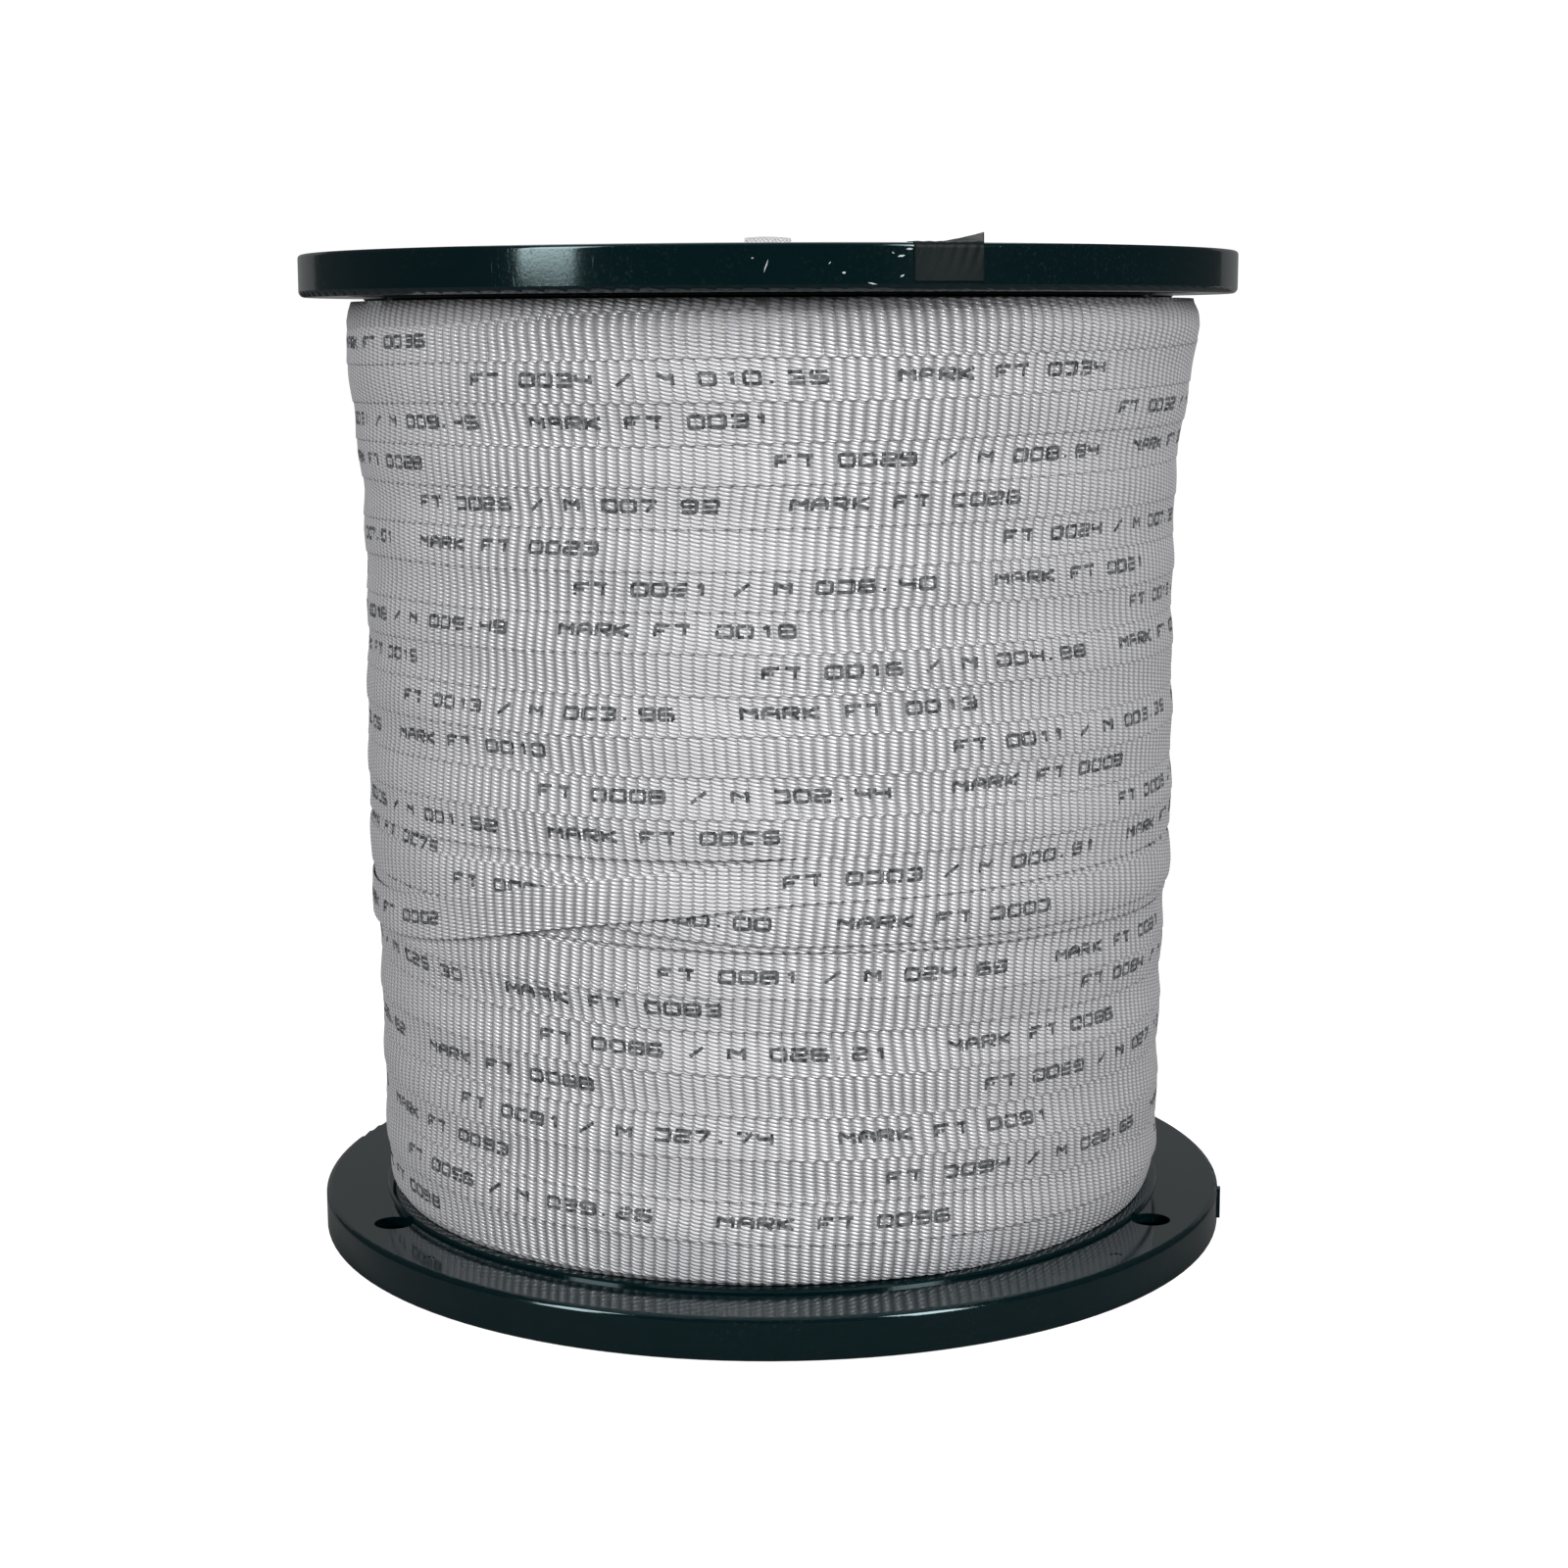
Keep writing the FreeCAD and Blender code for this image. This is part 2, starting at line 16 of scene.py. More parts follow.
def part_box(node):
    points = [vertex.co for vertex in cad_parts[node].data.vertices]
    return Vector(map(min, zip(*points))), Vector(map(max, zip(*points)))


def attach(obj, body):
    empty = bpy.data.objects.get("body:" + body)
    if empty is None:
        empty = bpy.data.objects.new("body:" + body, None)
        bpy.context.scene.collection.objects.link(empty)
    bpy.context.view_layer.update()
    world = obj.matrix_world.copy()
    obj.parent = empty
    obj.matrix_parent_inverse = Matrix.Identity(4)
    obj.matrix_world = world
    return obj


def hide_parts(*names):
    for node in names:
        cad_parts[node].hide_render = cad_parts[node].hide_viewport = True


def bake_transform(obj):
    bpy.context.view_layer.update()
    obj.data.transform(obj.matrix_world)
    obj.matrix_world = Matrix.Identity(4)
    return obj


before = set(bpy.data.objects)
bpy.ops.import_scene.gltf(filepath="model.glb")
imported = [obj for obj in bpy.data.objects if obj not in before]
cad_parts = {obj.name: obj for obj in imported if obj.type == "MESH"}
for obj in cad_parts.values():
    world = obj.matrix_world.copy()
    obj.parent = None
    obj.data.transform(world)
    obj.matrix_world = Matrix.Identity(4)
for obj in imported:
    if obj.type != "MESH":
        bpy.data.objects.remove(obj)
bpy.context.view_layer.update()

MM = 0.001
scene = bpy.context.scene

# %% [markdown]
# ## Camera
# The reel is seen from a little under the upper flange's height, looking slightly down, through a fairly
# long lens. The lens looks a hair to the right of the reel's axis, which a small sensor shift gives
# without turning the reel's upright edges.

# %% Camera
CAMERA_DISTANCE = 882.8 * MM
CAMERA_HEIGHT = 286.0 * MM
CAMERA_TILT = 0.1649
CAMERA_ROLL = -0.0045
SENSOR_WIDTH = 36.0
LENS = 64.02
SENSOR_SHIFT = 0.00875

camera_data = bpy.data.cameras.new("studio_camera")
camera_data.sensor_width = SENSOR_WIDTH
camera_data.lens = LENS
camera_data.shift_x = SENSOR_SHIFT
camera = bpy.data.objects.new("studio_camera", camera_data)
scene.collection.objects.link(camera)
camera.matrix_world = (
    Matrix.Translation((0, -CAMERA_DISTANCE, CAMERA_HEIGHT))
    @ Matrix.Rotation(math.pi / 2 - CAMERA_TILT, 4, "X")
    @ Matrix.Rotation(CAMERA_ROLL, 4, "Z")
)
scene.camera = camera
print("camera at", tuple(round(value, 3) for value in camera.location))

# %% [markdown]
# ## Studio
# A wide floor lies a hair below the reel. Two tall soft lights stand in front at the left and the right, so each
# lays a bright upright band on the winding. One soft light hangs overhead and one high behind, for the far side.
# A wide, dim panel stands low at the back. The world is a weak fill that the camera alone sees as white.

# %% Floor, lights and world
FLOOR_SIZE = 12.0
FLOOR_GAP = 0.2 * MM
floor_mesh = bpy.data.meshes.new("studio_floor")
half = FLOOR_SIZE / 2
floor_mesh.from_pydata([(-half, -half, 0), (half, -half, 0), (half, half, 0), (-half, half, 0)], [], [(0, 1, 2, 3)])
floor = bpy.data.objects.new("studio_floor", floor_mesh)
floor.location.z = -FLOOR_GAP
scene.collection.objects.link(floor)


def soft_light(name, place, target, width, height, power):
    """A rectangular soft light at place, facing target."""
    data = bpy.data.lights.new(name, "AREA")
    data.shape = "RECTANGLE"
    data.size = width
    data.size_y = height
    data.energy = power
    light = bpy.data.objects.new(name, data)
    light.location = place
    light.rotation_euler = (Vector(target) - Vector(place)).to_track_quat("-Z", "Y").to_euler()
    scene.collection.objects.link(light)


MIDDLE = (0, 0, 0.15)
SOFTBOX_WIDTH, SOFTBOX_HEIGHT = 0.42, 1.1
WORLD_FILL, WORLD_SEEN = 0.06, 1.05
soft_light("left_softbox", (-1.18, -0.98, 0.837), (0, 0, 0.127), SOFTBOX_WIDTH, SOFTBOX_HEIGHT, 20.0)
soft_light("right_softbox", (0.99, -1.18, 0.95), MIDDLE, SOFTBOX_WIDTH, SOFTBOX_HEIGHT, 27.0)
soft_light("overhead", (0, 0.1, 1.7), MIDDLE, 1.6, 1.6, 4.0)
soft_light("back_softbox", (0, 1.3, 1.9), MIDDLE, 1.4, 1.0, 14.0)
soft_light("backdrop_glow", (0, 2.2, 0.6), (0, 0, 0.6), 4.0, 1.2, 2.4)

world = bpy.data.worlds.new("studio_world")
world.use_nodes = True
scene.world = world
world_nodes, world_links = world.node_tree.nodes, world.node_tree.links
fill = world_nodes["Background"]
fill.inputs["Color"].default_value = (1, 1, 1, 1)
fill.inputs["Strength"].default_value = WORLD_FILL
seen = world_nodes.new("ShaderNodeBackground")
seen.inputs["Color"].default_value = (1, 1, 1, 1)
seen.inputs["Strength"].default_value = WORLD_SEEN
path = world_nodes.new("ShaderNodeLightPath")
mix = world_nodes.new("ShaderNodeMixShader")
world_links.new(path.outputs["Is Camera Ray"], mix.inputs["Fac"])
world_links.new(fill.outputs[0], mix.inputs[1])
world_links.new(seen.outputs[0], mix.inputs[2])
world_links.new(mix.outputs[0], world_nodes["World Output"].inputs["Surface"])
scene.view_settings.view_transform = "Standard"
print("studio: floor, 5 lights, world")

# %% [markdown]
# ## Node helpers
# Every finish here is built from nodes. Five short helpers keep those cells readable: one adds a node with its
# values set, one does a sum, one mixes two colours, one starts a material with its Principled shader, and one
# starts a node group.

# %% Node helpers
def add_node(tree, kind, values=(), **settings):
    """A node with its settings and the values of its unlinked inputs."""
    node = tree.nodes.new(kind)
    for name, value in settings.items():
        setattr(node, name, value)
    for name, value in dict(values).items():
        node.inputs[name].default_value = value
    return node


def maths(tree, operation, first, second=None):
    """A Math node; each operand is a number or an output socket."""
    node = tree.nodes.new("ShaderNodeMath")
    node.operation = operation
    for slot, operand in enumerate((first, second)):
        if operand is None:
            continue
        if isinstance(operand, (int, float)):
            node.inputs[slot].default_value = operand
        else:
            tree.links.new(operand, node.inputs[slot])
    return node.outputs[0]


def blend_colours(tree, factor, dark, light):
    """Mixes two colours by a mask socket; each colour is a 3-tuple or a socket."""
    node = tree.nodes.new("ShaderNodeMix")
    node.data_type = "RGBA"
    tree.links.new(factor, node.inputs[0])
    for slot, colour in ((6, dark), (7, light)):
        if isinstance(colour, tuple):
            node.inputs[slot].default_value = (*colour, 1.0)
        else:
            tree.links.new(colour, node.inputs[slot])
    return node.outputs[2]


def new_material(name, **shader_values):
    """A material and its Principled shader, with constants set on the shader's own sockets."""
    material = bpy.data.materials.new(name)
    material.use_nodes = True
    shader = material.node_tree.nodes["Principled BSDF"]
    for socket, value in shader_values.items():
        shader.inputs[socket.replace("_", " ")].default_value = value
    return material, material.node_tree, shader


def new_group(name, inputs, outputs):
    """An empty shader node group with (name, socket type, default) inputs and (name, type) outputs."""
    group = bpy.data.node_groups.new(name, "ShaderNodeTree")
    for socket, kind, default in inputs:
        made = group.interface.new_socket(name=socket, in_out="INPUT", socket_type=kind)
        made.default_value = default
    for socket, kind in outputs:
        group.interface.new_socket(name=socket, in_out="OUTPUT", socket_type=kind)
    return group, group.nodes.new("NodeGroupInput"), group.nodes.new("NodeGroupOutput")


# %% [markdown]
# ## Shared effect: handling marks
# Dust, fine scratches and small uneven patches show on every hard surface of a stored reel. One node group
# makes all three from object coordinates, so they keep their real size on any piece: a dust mask, a change in
# roughness, and a bump height.

# %% Handling marks
def handling_marks_group():
    group, given, result = new_group(
        "handling_marks",
        [
            ("Grain per mm", "NodeSocketFloat", 1.0),
            ("Scratches", "NodeSocketFloat", 0.3),
            ("Dust", "NodeSocketFloat", 0.2),
        ],
        [("Dust mask", "NodeSocketFloat"), ("Roughness", "NodeSocketFloat"), ("Height", "NodeSocketFloat")],
    )
    place = add_node(group, "ShaderNodeTexCoord").outputs["Object"]
    size = maths(group, "MULTIPLY", given.outputs["Grain per mm"], 1000.0)

    grain = add_node(group, "ShaderNodeTexNoise", {"Detail": 2.0, "Roughness": 0.6})
    group.links.new(place, grain.inputs["Vector"])
    group.links.new(size, grain.inputs["Scale"])

    stretch = add_node(group, "ShaderNodeMapping", {"Rotation": (0.4, 0.9, 0.6), "Scale": (1.0, 14.0, 1.0)})
    group.links.new(place, stretch.inputs["Vector"])
    scratch = add_node(group, "ShaderNodeTexNoise", {"Scale": 260.0, "Detail": 3.0, "Roughness": 0.65})
    group.links.new(stretch.outputs[0], scratch.inputs["Vector"])
    lines = add_node(group, "ShaderNodeMapRange", {"From Min": 0.60, "From Max": 0.72})
    group.links.new(scratch.outputs["Fac"], lines.inputs["Value"])
    scratched = maths(group, "MULTIPLY", lines.outputs[0], given.outputs["Scratches"])

    cloud = add_node(group, "ShaderNodeTexNoise", {"Scale": 22.0, "Detail": 5.0, "Roughness": 0.7})
    group.links.new(place, cloud.inputs["Vector"])
    patch = add_node(group, "ShaderNodeMapRange", {"From Min": 0.42, "From Max": 0.75})
    group.links.new(cloud.outputs["Fac"], patch.inputs["Value"])
    specks = add_node(group, "ShaderNodeMapRange", {"From Min": 0.58, "From Max": 0.70})
    group.links.new(grain.outputs["Fac"], specks.inputs["Value"])
    specked = maths(group, "MULTIPLY", patch.outputs[0], specks.outputs[0])
    dusty = maths(group, "MULTIPLY", specked, given.outputs["Dust"])

    rough = maths(group, "ADD", maths(group, "MULTIPLY", scratched, 0.25), maths(group, "MULTIPLY", dusty, 0.5))
    rough = maths(group, "ADD", rough, maths(group, "MULTIPLY", patch.outputs[0], 0.05))
    height = maths(group, "SUBTRACT", maths(group, "MULTIPLY", grain.outputs["Fac"], 0.3), scratched)
    group.links.new(dusty, result.inputs["Dust mask"])
    group.links.new(rough, result.inputs["Roughness"])
    group.links.new(height, result.inputs["Height"])
    return group


HANDLING_MARKS = handling_marks_group()


def hard_finish(name, colour, dust_colour, roughness, marks, bump_mm, **shader_values):
    """A hard surface: one base colour, dulled and dusted by the handling marks."""
    material, tree, shader = new_material(name, **shader_values)
    worn = add_node(tree, "ShaderNodeGroup", node_tree=HANDLING_MARKS)
    for socket, value in marks.items():
        worn.inputs[socket].default_value = value
    tree.links.new(blend_colours(tree, worn.outputs["Dust mask"], colour, dust_colour), shader.inputs["Base Color"])
    tree.links.new(maths(tree, "ADD", worn.outputs["Roughness"], roughness), shader.inputs["Roughness"])
    bump = add_node(tree, "ShaderNodeBump", {"Strength": 1.0, "Distance": bump_mm * MM})
    tree.links.new(worn.outputs["Height"], bump.inputs["Height"])
    tree.links.new(bump.outputs[0], shader.inputs["Normal"])
    return material


print("node group:", HANDLING_MARKS.name)

# %% [markdown]
# ## Hard finishes
# The flanges are moulded in a gloss plastic that is nearly black with a blue-green cast. The bolts, nuts and
# washers are zinc plated, the bushes are turned steel and the core is brown board. All of them share the
# handling marks, each with its own amounts.

# %% Hard finishes
flange_plastic = hard_finish(
    "flange_plastic", (0.0006, 0.0066, 0.0083), (0.15, 0.19, 0.20), 0.08,
    {"Grain per mm": 1.1, "Scratches": 0.25, "Dust": 0.10}, 0.02, IOR=1.5, Specular_Tint=(0.72, 0.97, 1.0, 1.0),
)
zinc_steel = hard_finish(
    "zinc_steel", (0.62, 0.63, 0.64), (0.40, 0.39, 0.37), 0.30,
    {"Grain per mm": 2.0, "Scratches": 0.6, "Dust": 0.3}, 0.02, Metallic=1.0,
)
bush_steel = hard_finish(
    "bush_steel", (0.52, 0.52, 0.53), (0.30, 0.28, 0.26), 0.24,
    {"Grain per mm": 1.6, "Scratches": 1.0, "Dust": 0.3}, 0.02, Metallic=1.0,
)
core_board = hard_finish(
    "core_board", (0.36, 0.24, 0.14), (0.50, 0.40, 0.28), 0.85,
    {"Grain per mm": 0.9, "Scratches": 0.5, "Dust": 0.6}, 0.08,
)
sticker_film = hard_finish(
    "sticker_film", (0.006, 0.010, 0.011), (0.09, 0.10, 0.105), 0.36,
    {"Grain per mm": 1.4, "Scratches": 0.3, "Dust": 0.22}, 0.03, Specular_IOR_Level=0.06,
)
NODE_FINISHES = {
    "lower_flange": flange_plastic,
    "upper_flange": flange_plastic,
    "lower_arbor_bush": bush_steel,
    "upper_arbor_bush": bush_steel,
    "core_tube": core_board,
    "tie_bolts": zinc_steel,
    "head_washers": zinc_steel,
    "nut_washers": zinc_steel,
    "tie_bolt_nuts": zinc_steel,
}
for node_name, finish in NODE_FINISHES.items():
    node_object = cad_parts[node_name]
    node_object.data.materials.clear()
    node_object.data.materials.append(finish)
print("finished", len(NODE_FINISHES), "frame nodes")

# %% [markdown]
# ## Woven tape finish
# The tape is white polyester. Thick ribs of weft run across it, and warp threads float over each rib as short
# dashes that shift by half a step from rib to rib. The ribs are modelled, so the finish only adds what is finer:
# the dashes, the threads in them, and painted shade that greys the hollows between ribs and floats while the
# crowns stay light. It reads a UV map laid out in millimetres along and across the tape, so the weave follows the
# tape wherever it goes.

# %% Woven tape finish
RIB_PITCH = 3.5
FLOAT_PITCH = 1.1
THREAD_PITCH = 0.16
FLOAT_SLANT = 0.8       # how many rows a float climbs over one rib
RIDGE_SHARE = 0.45      # of a rib's crown that is light even between its floats


def weave_group():
    group, given, result = new_group(
        "flat_weave",
        [("Rib pitch", "NodeSocketFloat", RIB_PITCH), ("Float pitch", "NodeSocketFloat", FLOAT_PITCH)],
        [("Height", "NodeSocketFloat"), ("Hollow and painted shade", "NodeSocketFloat"), ("Mottle", "NodeSocketFloat")],
    )
    uv = add_node(group, "ShaderNodeUVMap", uv_map="tape_mm")
    split = add_node(group, "ShaderNodeSeparateXYZ")
    group.links.new(uv.outputs[0], split.inputs[0])
    along, across = split.outputs["X"], split.outputs["Y"]

    rib = maths(group, "DIVIDE", along, given.outputs["Rib pitch"])
    crown = maths(group, "ABSOLUTE", maths(group, "SINE", maths(group, "MULTIPLY", rib, math.pi)))
    rib_number = maths(group, "FLOOR", rib)
    shift = maths(group, "MULTIPLY", maths(group, "MODULO", rib_number, 2.0), 0.5)
    slant = maths(group, "MULTIPLY", maths(group, "FRACT", rib), FLOAT_SLANT)
    row = maths(group, "ADD", maths(group, "DIVIDE", across, given.outputs["Float pitch"]), shift)
    row = maths(group, "ADD", row, slant)
    hump = maths(group, "ABSOLUTE", maths(group, "SINE", maths(group, "MULTIPLY", row, math.pi)))
    float_height = maths(group, "MULTIPLY", maths(group, "POWER", hump, 0.7), maths(group, "POWER", crown, 0.5))

    threads = add_node(group, "ShaderNodeTexNoise", {"Scale": 1.0, "Detail": 2.0, "Roughness": 0.5})
    lay = add_node(group, "ShaderNodeMapping", {"Scale": (0.9, 1.0 / THREAD_PITCH, 1.0)})
    group.links.new(uv.outputs[0], lay.inputs["Vector"])
    group.links.new(lay.outputs[0], threads.inputs["Vector"])
    fine = maths(group, "MULTIPLY", threads.outputs["Fac"], 0.25)

    place = add_node(group, "ShaderNodeTexCoord").outputs["Object"]
    mottle = add_node(group, "ShaderNodeTexNoise", {"Scale": 55.0, "Detail": 4.0, "Roughness": 0.6})
    group.links.new(place, mottle.inputs["Vector"])
    group.links.new(maths(group, "ADD", float_height, fine), result.inputs["Height"])
    # Painted light and shade: lit marks the crowns and floats that are painted light, and hollow marks the hollows
    # between ribs and floats that are painted grey as shade.
    lit = maths(group, "MULTIPLY", maths(group, "POWER", hump, 0.8), 1 - RIDGE_SHARE)
    lit = maths(group, "ADD", lit, RIDGE_SHARE)
    hollow = maths(group, "SUBTRACT", 1.0, maths(group, "MULTIPLY", lit, maths(group, "POWER", crown, 1.7)))
    group.links.new(hollow, result.inputs["Hollow and painted shade"])
    group.links.new(mottle.outputs["Fac"], result.inputs["Mottle"])
    return group


FLAT_WEAVE = weave_group()


YARN_SHADES = ((0.74, 0.735, 0.775), (0.90, 0.89, 0.935))
PAINTED_HOLLOW_SHADE = (0.21, 0.21, 0.22)


def tape_finish():
    material, tree, shader = new_material(
        "woven_tape", IOR=1.9, Specular_IOR_Level=1.0, Sheen_Weight=0.1, Sheen_Roughness=0.4
    )
    weave = add_node(tree, "ShaderNodeGroup", node_tree=FLAT_WEAVE)
    weave.inputs["Rib pitch"].default_value = RIB_PITCH
    weave.inputs["Float pitch"].default_value = FLOAT_PITCH
    hollow = weave.outputs["Hollow and painted shade"]
    yarn = blend_colours(tree, weave.outputs["Mottle"], YARN_SHADES[0], YARN_SHADES[1])
    # Painted shade: the hollow mask greys the yarn colour in the hollows, and it also makes them rougher.
    tree.links.new(blend_colours(tree, hollow, yarn, PAINTED_HOLLOW_SHADE), shader.inputs["Base Color"])
    roughness = maths(tree, "ADD", maths(tree, "MULTIPLY", hollow, 0.3), 0.2)
    tree.links.new(roughness, shader.inputs["Roughness"])
    bump = add_node(tree, "ShaderNodeBump", {"Strength": 1.0, "Distance": 0.3 * MM})
    tree.links.new(weave.outputs["Height"], bump.inputs["Height"])
    tree.links.new(bump.outputs[0], shader.inputs["Normal"])
    return material


woven_tape = tape_finish()
print("material:", woven_tape.name)

# %% [markdown]
# ## How the tape is wound
# Two layers show. The outer one winds down from the upper flange, each turn lapping over the lower edge of the
# one before. Its last turn goes under the ramp of the turn before it, which is how a winder locks a free end.
# Below it the layer underneath lies bare, wound upwards with a longer step. Each layer is one helix, described
# by the height of the tape's middle at every angle; the angle counts on past full turns, and is zero at the front.

# %% Winding paths
TAPE_WIDTH = 12.7
TAPE_THICKNESS = 0.55
FOOT = 304.8
OUTER_PITCH = 11.43
UNDER_PITCH = 12.35
OUTER_FOOT_ANGLE = 137.65
UNDER_FOOT_ANGLE = 140.5
OUTER_FRONT_ANGLE, OUTER_FRONT_HEIGHT = 1.0, 145.2
UNDER_FRONT_ANGLE, UNDER_FRONT_HEIGHT, UNDER_FRONT_FOOT = -6.5, 95.6, 83
UPPER_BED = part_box("core_tube")[1][2] / MM - 0.1
LOWER_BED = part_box("core_tube")[0][2] / MM + 0.1
outer_radius = FOOT / math.radians(OUTER_FOOT_ANGLE)
under_radius = FOOT / math.radians(UNDER_FOOT_ANGLE)

TUCKED_END = [
    (-905, 127.5), (-800, 126.6), (-768, 126.4), (-752, 127.0), (-734, 122.6), (-723, 120.6), (-640, 119.8),
    (-560, 118.0), (-490, 113.2), (-440, 109.6), (-424, 109.9), (-410, 113.6), (-385, 124.8), (-359, 132.6),
]
RAMP_TOP, RAMP_BLEND = -359.0, 40.0
BARE_TOP_END = -64.0
BARE_TOP = [(-1330, 141.0), (-1148, 134.6), (-760, 120.4), (-373, 105.4), (-280, 102.6), (-64, 97.6)]


def outer_middle(angle):
    """Height of the outer layer's middle line, in mm, at an unwound angle in degrees."""
    helix = OUTER_FRONT_HEIGHT + OUTER_PITCH * (angle - OUTER_FRONT_ANGLE) / 360.0
    tucked = np.interp(angle, *zip(*TUCKED_END))
    joined = np.clip((angle - RAMP_TOP) / RAMP_BLEND, 0.0, 1.0)
    return np.where(angle < RAMP_TOP, tucked, tucked * (1 - joined) + helix * joined)


def under_middle(angle):
    """Height of the bare layer's middle line."""
    helix = UNDER_FRONT_HEIGHT - UNDER_PITCH * (angle - UNDER_FRONT_ANGLE) / 360.0
    return np.where(angle < BARE_TOP_END, np.interp(angle, *zip(*BARE_TOP)), helix)


def smoothed(heights, reach):
    """Runs a soft average along a path, so the tape bends and never kinks."""
    kernel = np.hanning(reach + 2)[1:-1]
    padded = np.concatenate([np.full(reach, heights[0]), heights, np.full(reach, heights[-1])])
    return np.convolve(padded, kernel / kernel.sum(), mode="same")[reach:-reach]


# The winding's radius at each height, in mm.
WALL_HEIGHTS = [14, 16, 20, 30, 76, 86, 97, 107, 117, 147, 165, 197, 216, 235, 245, 259, 269, 278, 284, 288, 291]
WALL_RADII = [
    122.6, 123.8, 124.7, 125.2, 125.4, 125.3, 125.7, 126.2, 126.9, 126.9, 126.6, 126.1, 126.3, 126.8, 127.6, 129.1,
    130.4, 131.4, 132.3, 132.2, 131.0,
]


def step(value, start, end):
    """0 before start, 1 after end, easing between."""
    part = np.clip((value - start) / (end - start), 0.0, 1.0)
    return part * part * (3 - 2 * part)


# The winding bulges at one side near the top, and its topmost turns draw in below the flange. Lengths in mm.
SWELLING, SWELLING_LOW, SWELLING_HIGH = 1.3, 245.0, 288.0
SHOULDER_DEPTH, SHOULDER_LOW, SHOULDER_RISE, SHOULDER_POWER = 7.5, 279.0, 13.0, 2.4
LAYER_WAVE, LAYER_WAVE_LENGTH = 0.34, 3.75


def wall(angle, height):
    """Radius of the winding's face at an angle in degrees and a height: its profile, never quite round."""
    turn = np.radians(angle)
    uneven = 0.22 * np.sin(2 * turn + height / 31) + 0.14 * np.sin(5 * turn - height / 17)
    layered = LAYER_WAVE * np.sin(height / LAYER_WAVE_LENGTH + 1.5 * np.sin(turn))
    uneven += 0.08 * np.sin(11 * turn + height / 7.3) + layered
    side = np.sin(turn)
    swollen = SWELLING * side * step(height, SWELLING_LOW, SWELLING_HIGH)
    fallen = np.clip((height - SHOULDER_LOW) / SHOULDER_RISE, 0.0, 1.0) ** SHOULDER_POWER
    shoulder = SHOULDER_DEPTH * fallen * np.clip(0.35 - 0.65 * side, 0.0, 1.0)
    return np.interp(height, WALL_HEIGHTS, WALL_RADII) + uneven + swollen - shoulder


print("outer layer radius %.1f mm, under layer %.1f mm" % (outer_radius, under_radius))

# %% [markdown]
# ## A strip of woven tape
# A strip is a long closed band. Each rib takes six slices along the tape: one in the hollow, one on the crown
# and two on each flank, so a rib is round without costing many faces. The ribs wander and bow a little. Across
# the tape the slices bunch at the edges, where the selvedge rolls over and the band thins. The same function that
# places the strip's face also places the print.

# %% Strip geometry
RIB_SLICES = (0.0, 0.14, 0.31, 0.5, 0.69, 0.86)
RIB_DEPTH = 0.44
CROWN_POWER = 0.5       # below 1 a rib's top is flat and its hollows narrow
EDGE_ROLL = 0.12
EDGE_START, EDGE_REACH = 5.55, 0.8
EDGE_THINNING = 0.2
SCALLOP_START, SCALLOP_REACH, SCALLOP_OUT, SCALLOP_IN = 5.2, 1.1, 0.30, 0.20
TURN_WANDER = ((0.22, 3.7, 0.0), (0.12, 9.1, 1.0))     # mm, waves for each radian of turn, phase
CLEARANCE = 0.05        # left between the tape's edge and a flange
HALF_WIDTH = TAPE_WIDTH / 2
ACROSS_FACE = np.concatenate([
    [-6.35, -6.26, -6.0, -5.5], np.linspace(-4.8, 4.8, 9), [5.5, 6.0, 6.26, 6.35],
])
ACROSS_BACK = np.array([6.2, 2.1, -2.1, -6.2])


class Winding:
    """One layer: where its tape runs, how it leans on its neighbour, and its radius for measuring along it."""

    def __init__(self, middle, start, end, radius, lean, base, lift=()):
        self.start, self.end, self.radius = start, end, radius
        self.lean, self.base, self.lift = lean, base, lift
        self.grid = np.linspace(start - 5, end + 5, int((end - start + 10) / 2))
        self.heights = smoothed(middle(self.grid), 12)

    def angle_at(self, along):
        return np.degrees(along / self.radius)

    def along_at(self, angle):
        return np.radians(angle) * self.radius

    def place(self, along, across, rise):
        """Points in mm: along and across the tape, rise above its smooth face."""
        angle = self.angle_at(along)
        turn = np.radians(angle)
        wander = sum(reach * np.sin(turn * waves + phase) for reach, waves, phase in TURN_WANDER)
        height = np.interp(angle, self.grid, self.heights) + wander + across
        height = np.clip(height, LOWER_BED + CLEARANCE, UPPER_BED - CLEARANCE)
        radius = wall(angle, height) + self.base + self.lean * (across / TAPE_WIDTH + 0.5 * np.sign(self.lean))
        for start, full, hold, done, amount in self.lift:
            radius = radius + amount * step(angle, start, full) * (1 - step(angle, hold, done))
        radius = radius + rise
        return np.stack([radius * np.sin(turn), -radius * np.cos(turn), height], axis=-1)


def rib_crown(along):
    """0 in a hollow between ribs, 1 on top of a rib."""
    return np.abs(np.sin(np.pi * along / RIB_PITCH))


def rib_relief(along, across):
    """How far the woven face lies below the smooth one: hollows between flat-topped ribs, and rolled edges."""
    crown = rib_crown(along) ** CROWN_POWER
    edge = np.clip((np.abs(across) - EDGE_START) / EDGE_REACH, 0.0, 1.0)
    return -RIB_DEPTH * (1 - crown) * (1 - 0.65 * edge) - EDGE_ROLL * (1 - np.sqrt(1 - 0.98 * edge**2))


def scalloped(along, across):
    """The selvedge bulges at each rib and draws in at each hollow."""
    near_edge = np.clip((np.abs(across) - SCALLOP_START) / SCALLOP_REACH, 0.0, 1.0)
    return across + np.sign(across) * near_edge * (SCALLOP_OUT * rib_crown(along) - SCALLOP_IN)


def rib_wander(along, across):
    """How far a rib strays along the tape: it leans and bows a little, differently from place to place."""
    lean = 0.07 * np.sin(along / 67.0) + 0.04 * np.sin(along / 23.0 + 1.0)
    bow = 0.22 * np.sin(along / 13.7 + 0.15 * across) + 0.12 * np.sin(along / 3.1 + 2.0)
    return lean * across + bow


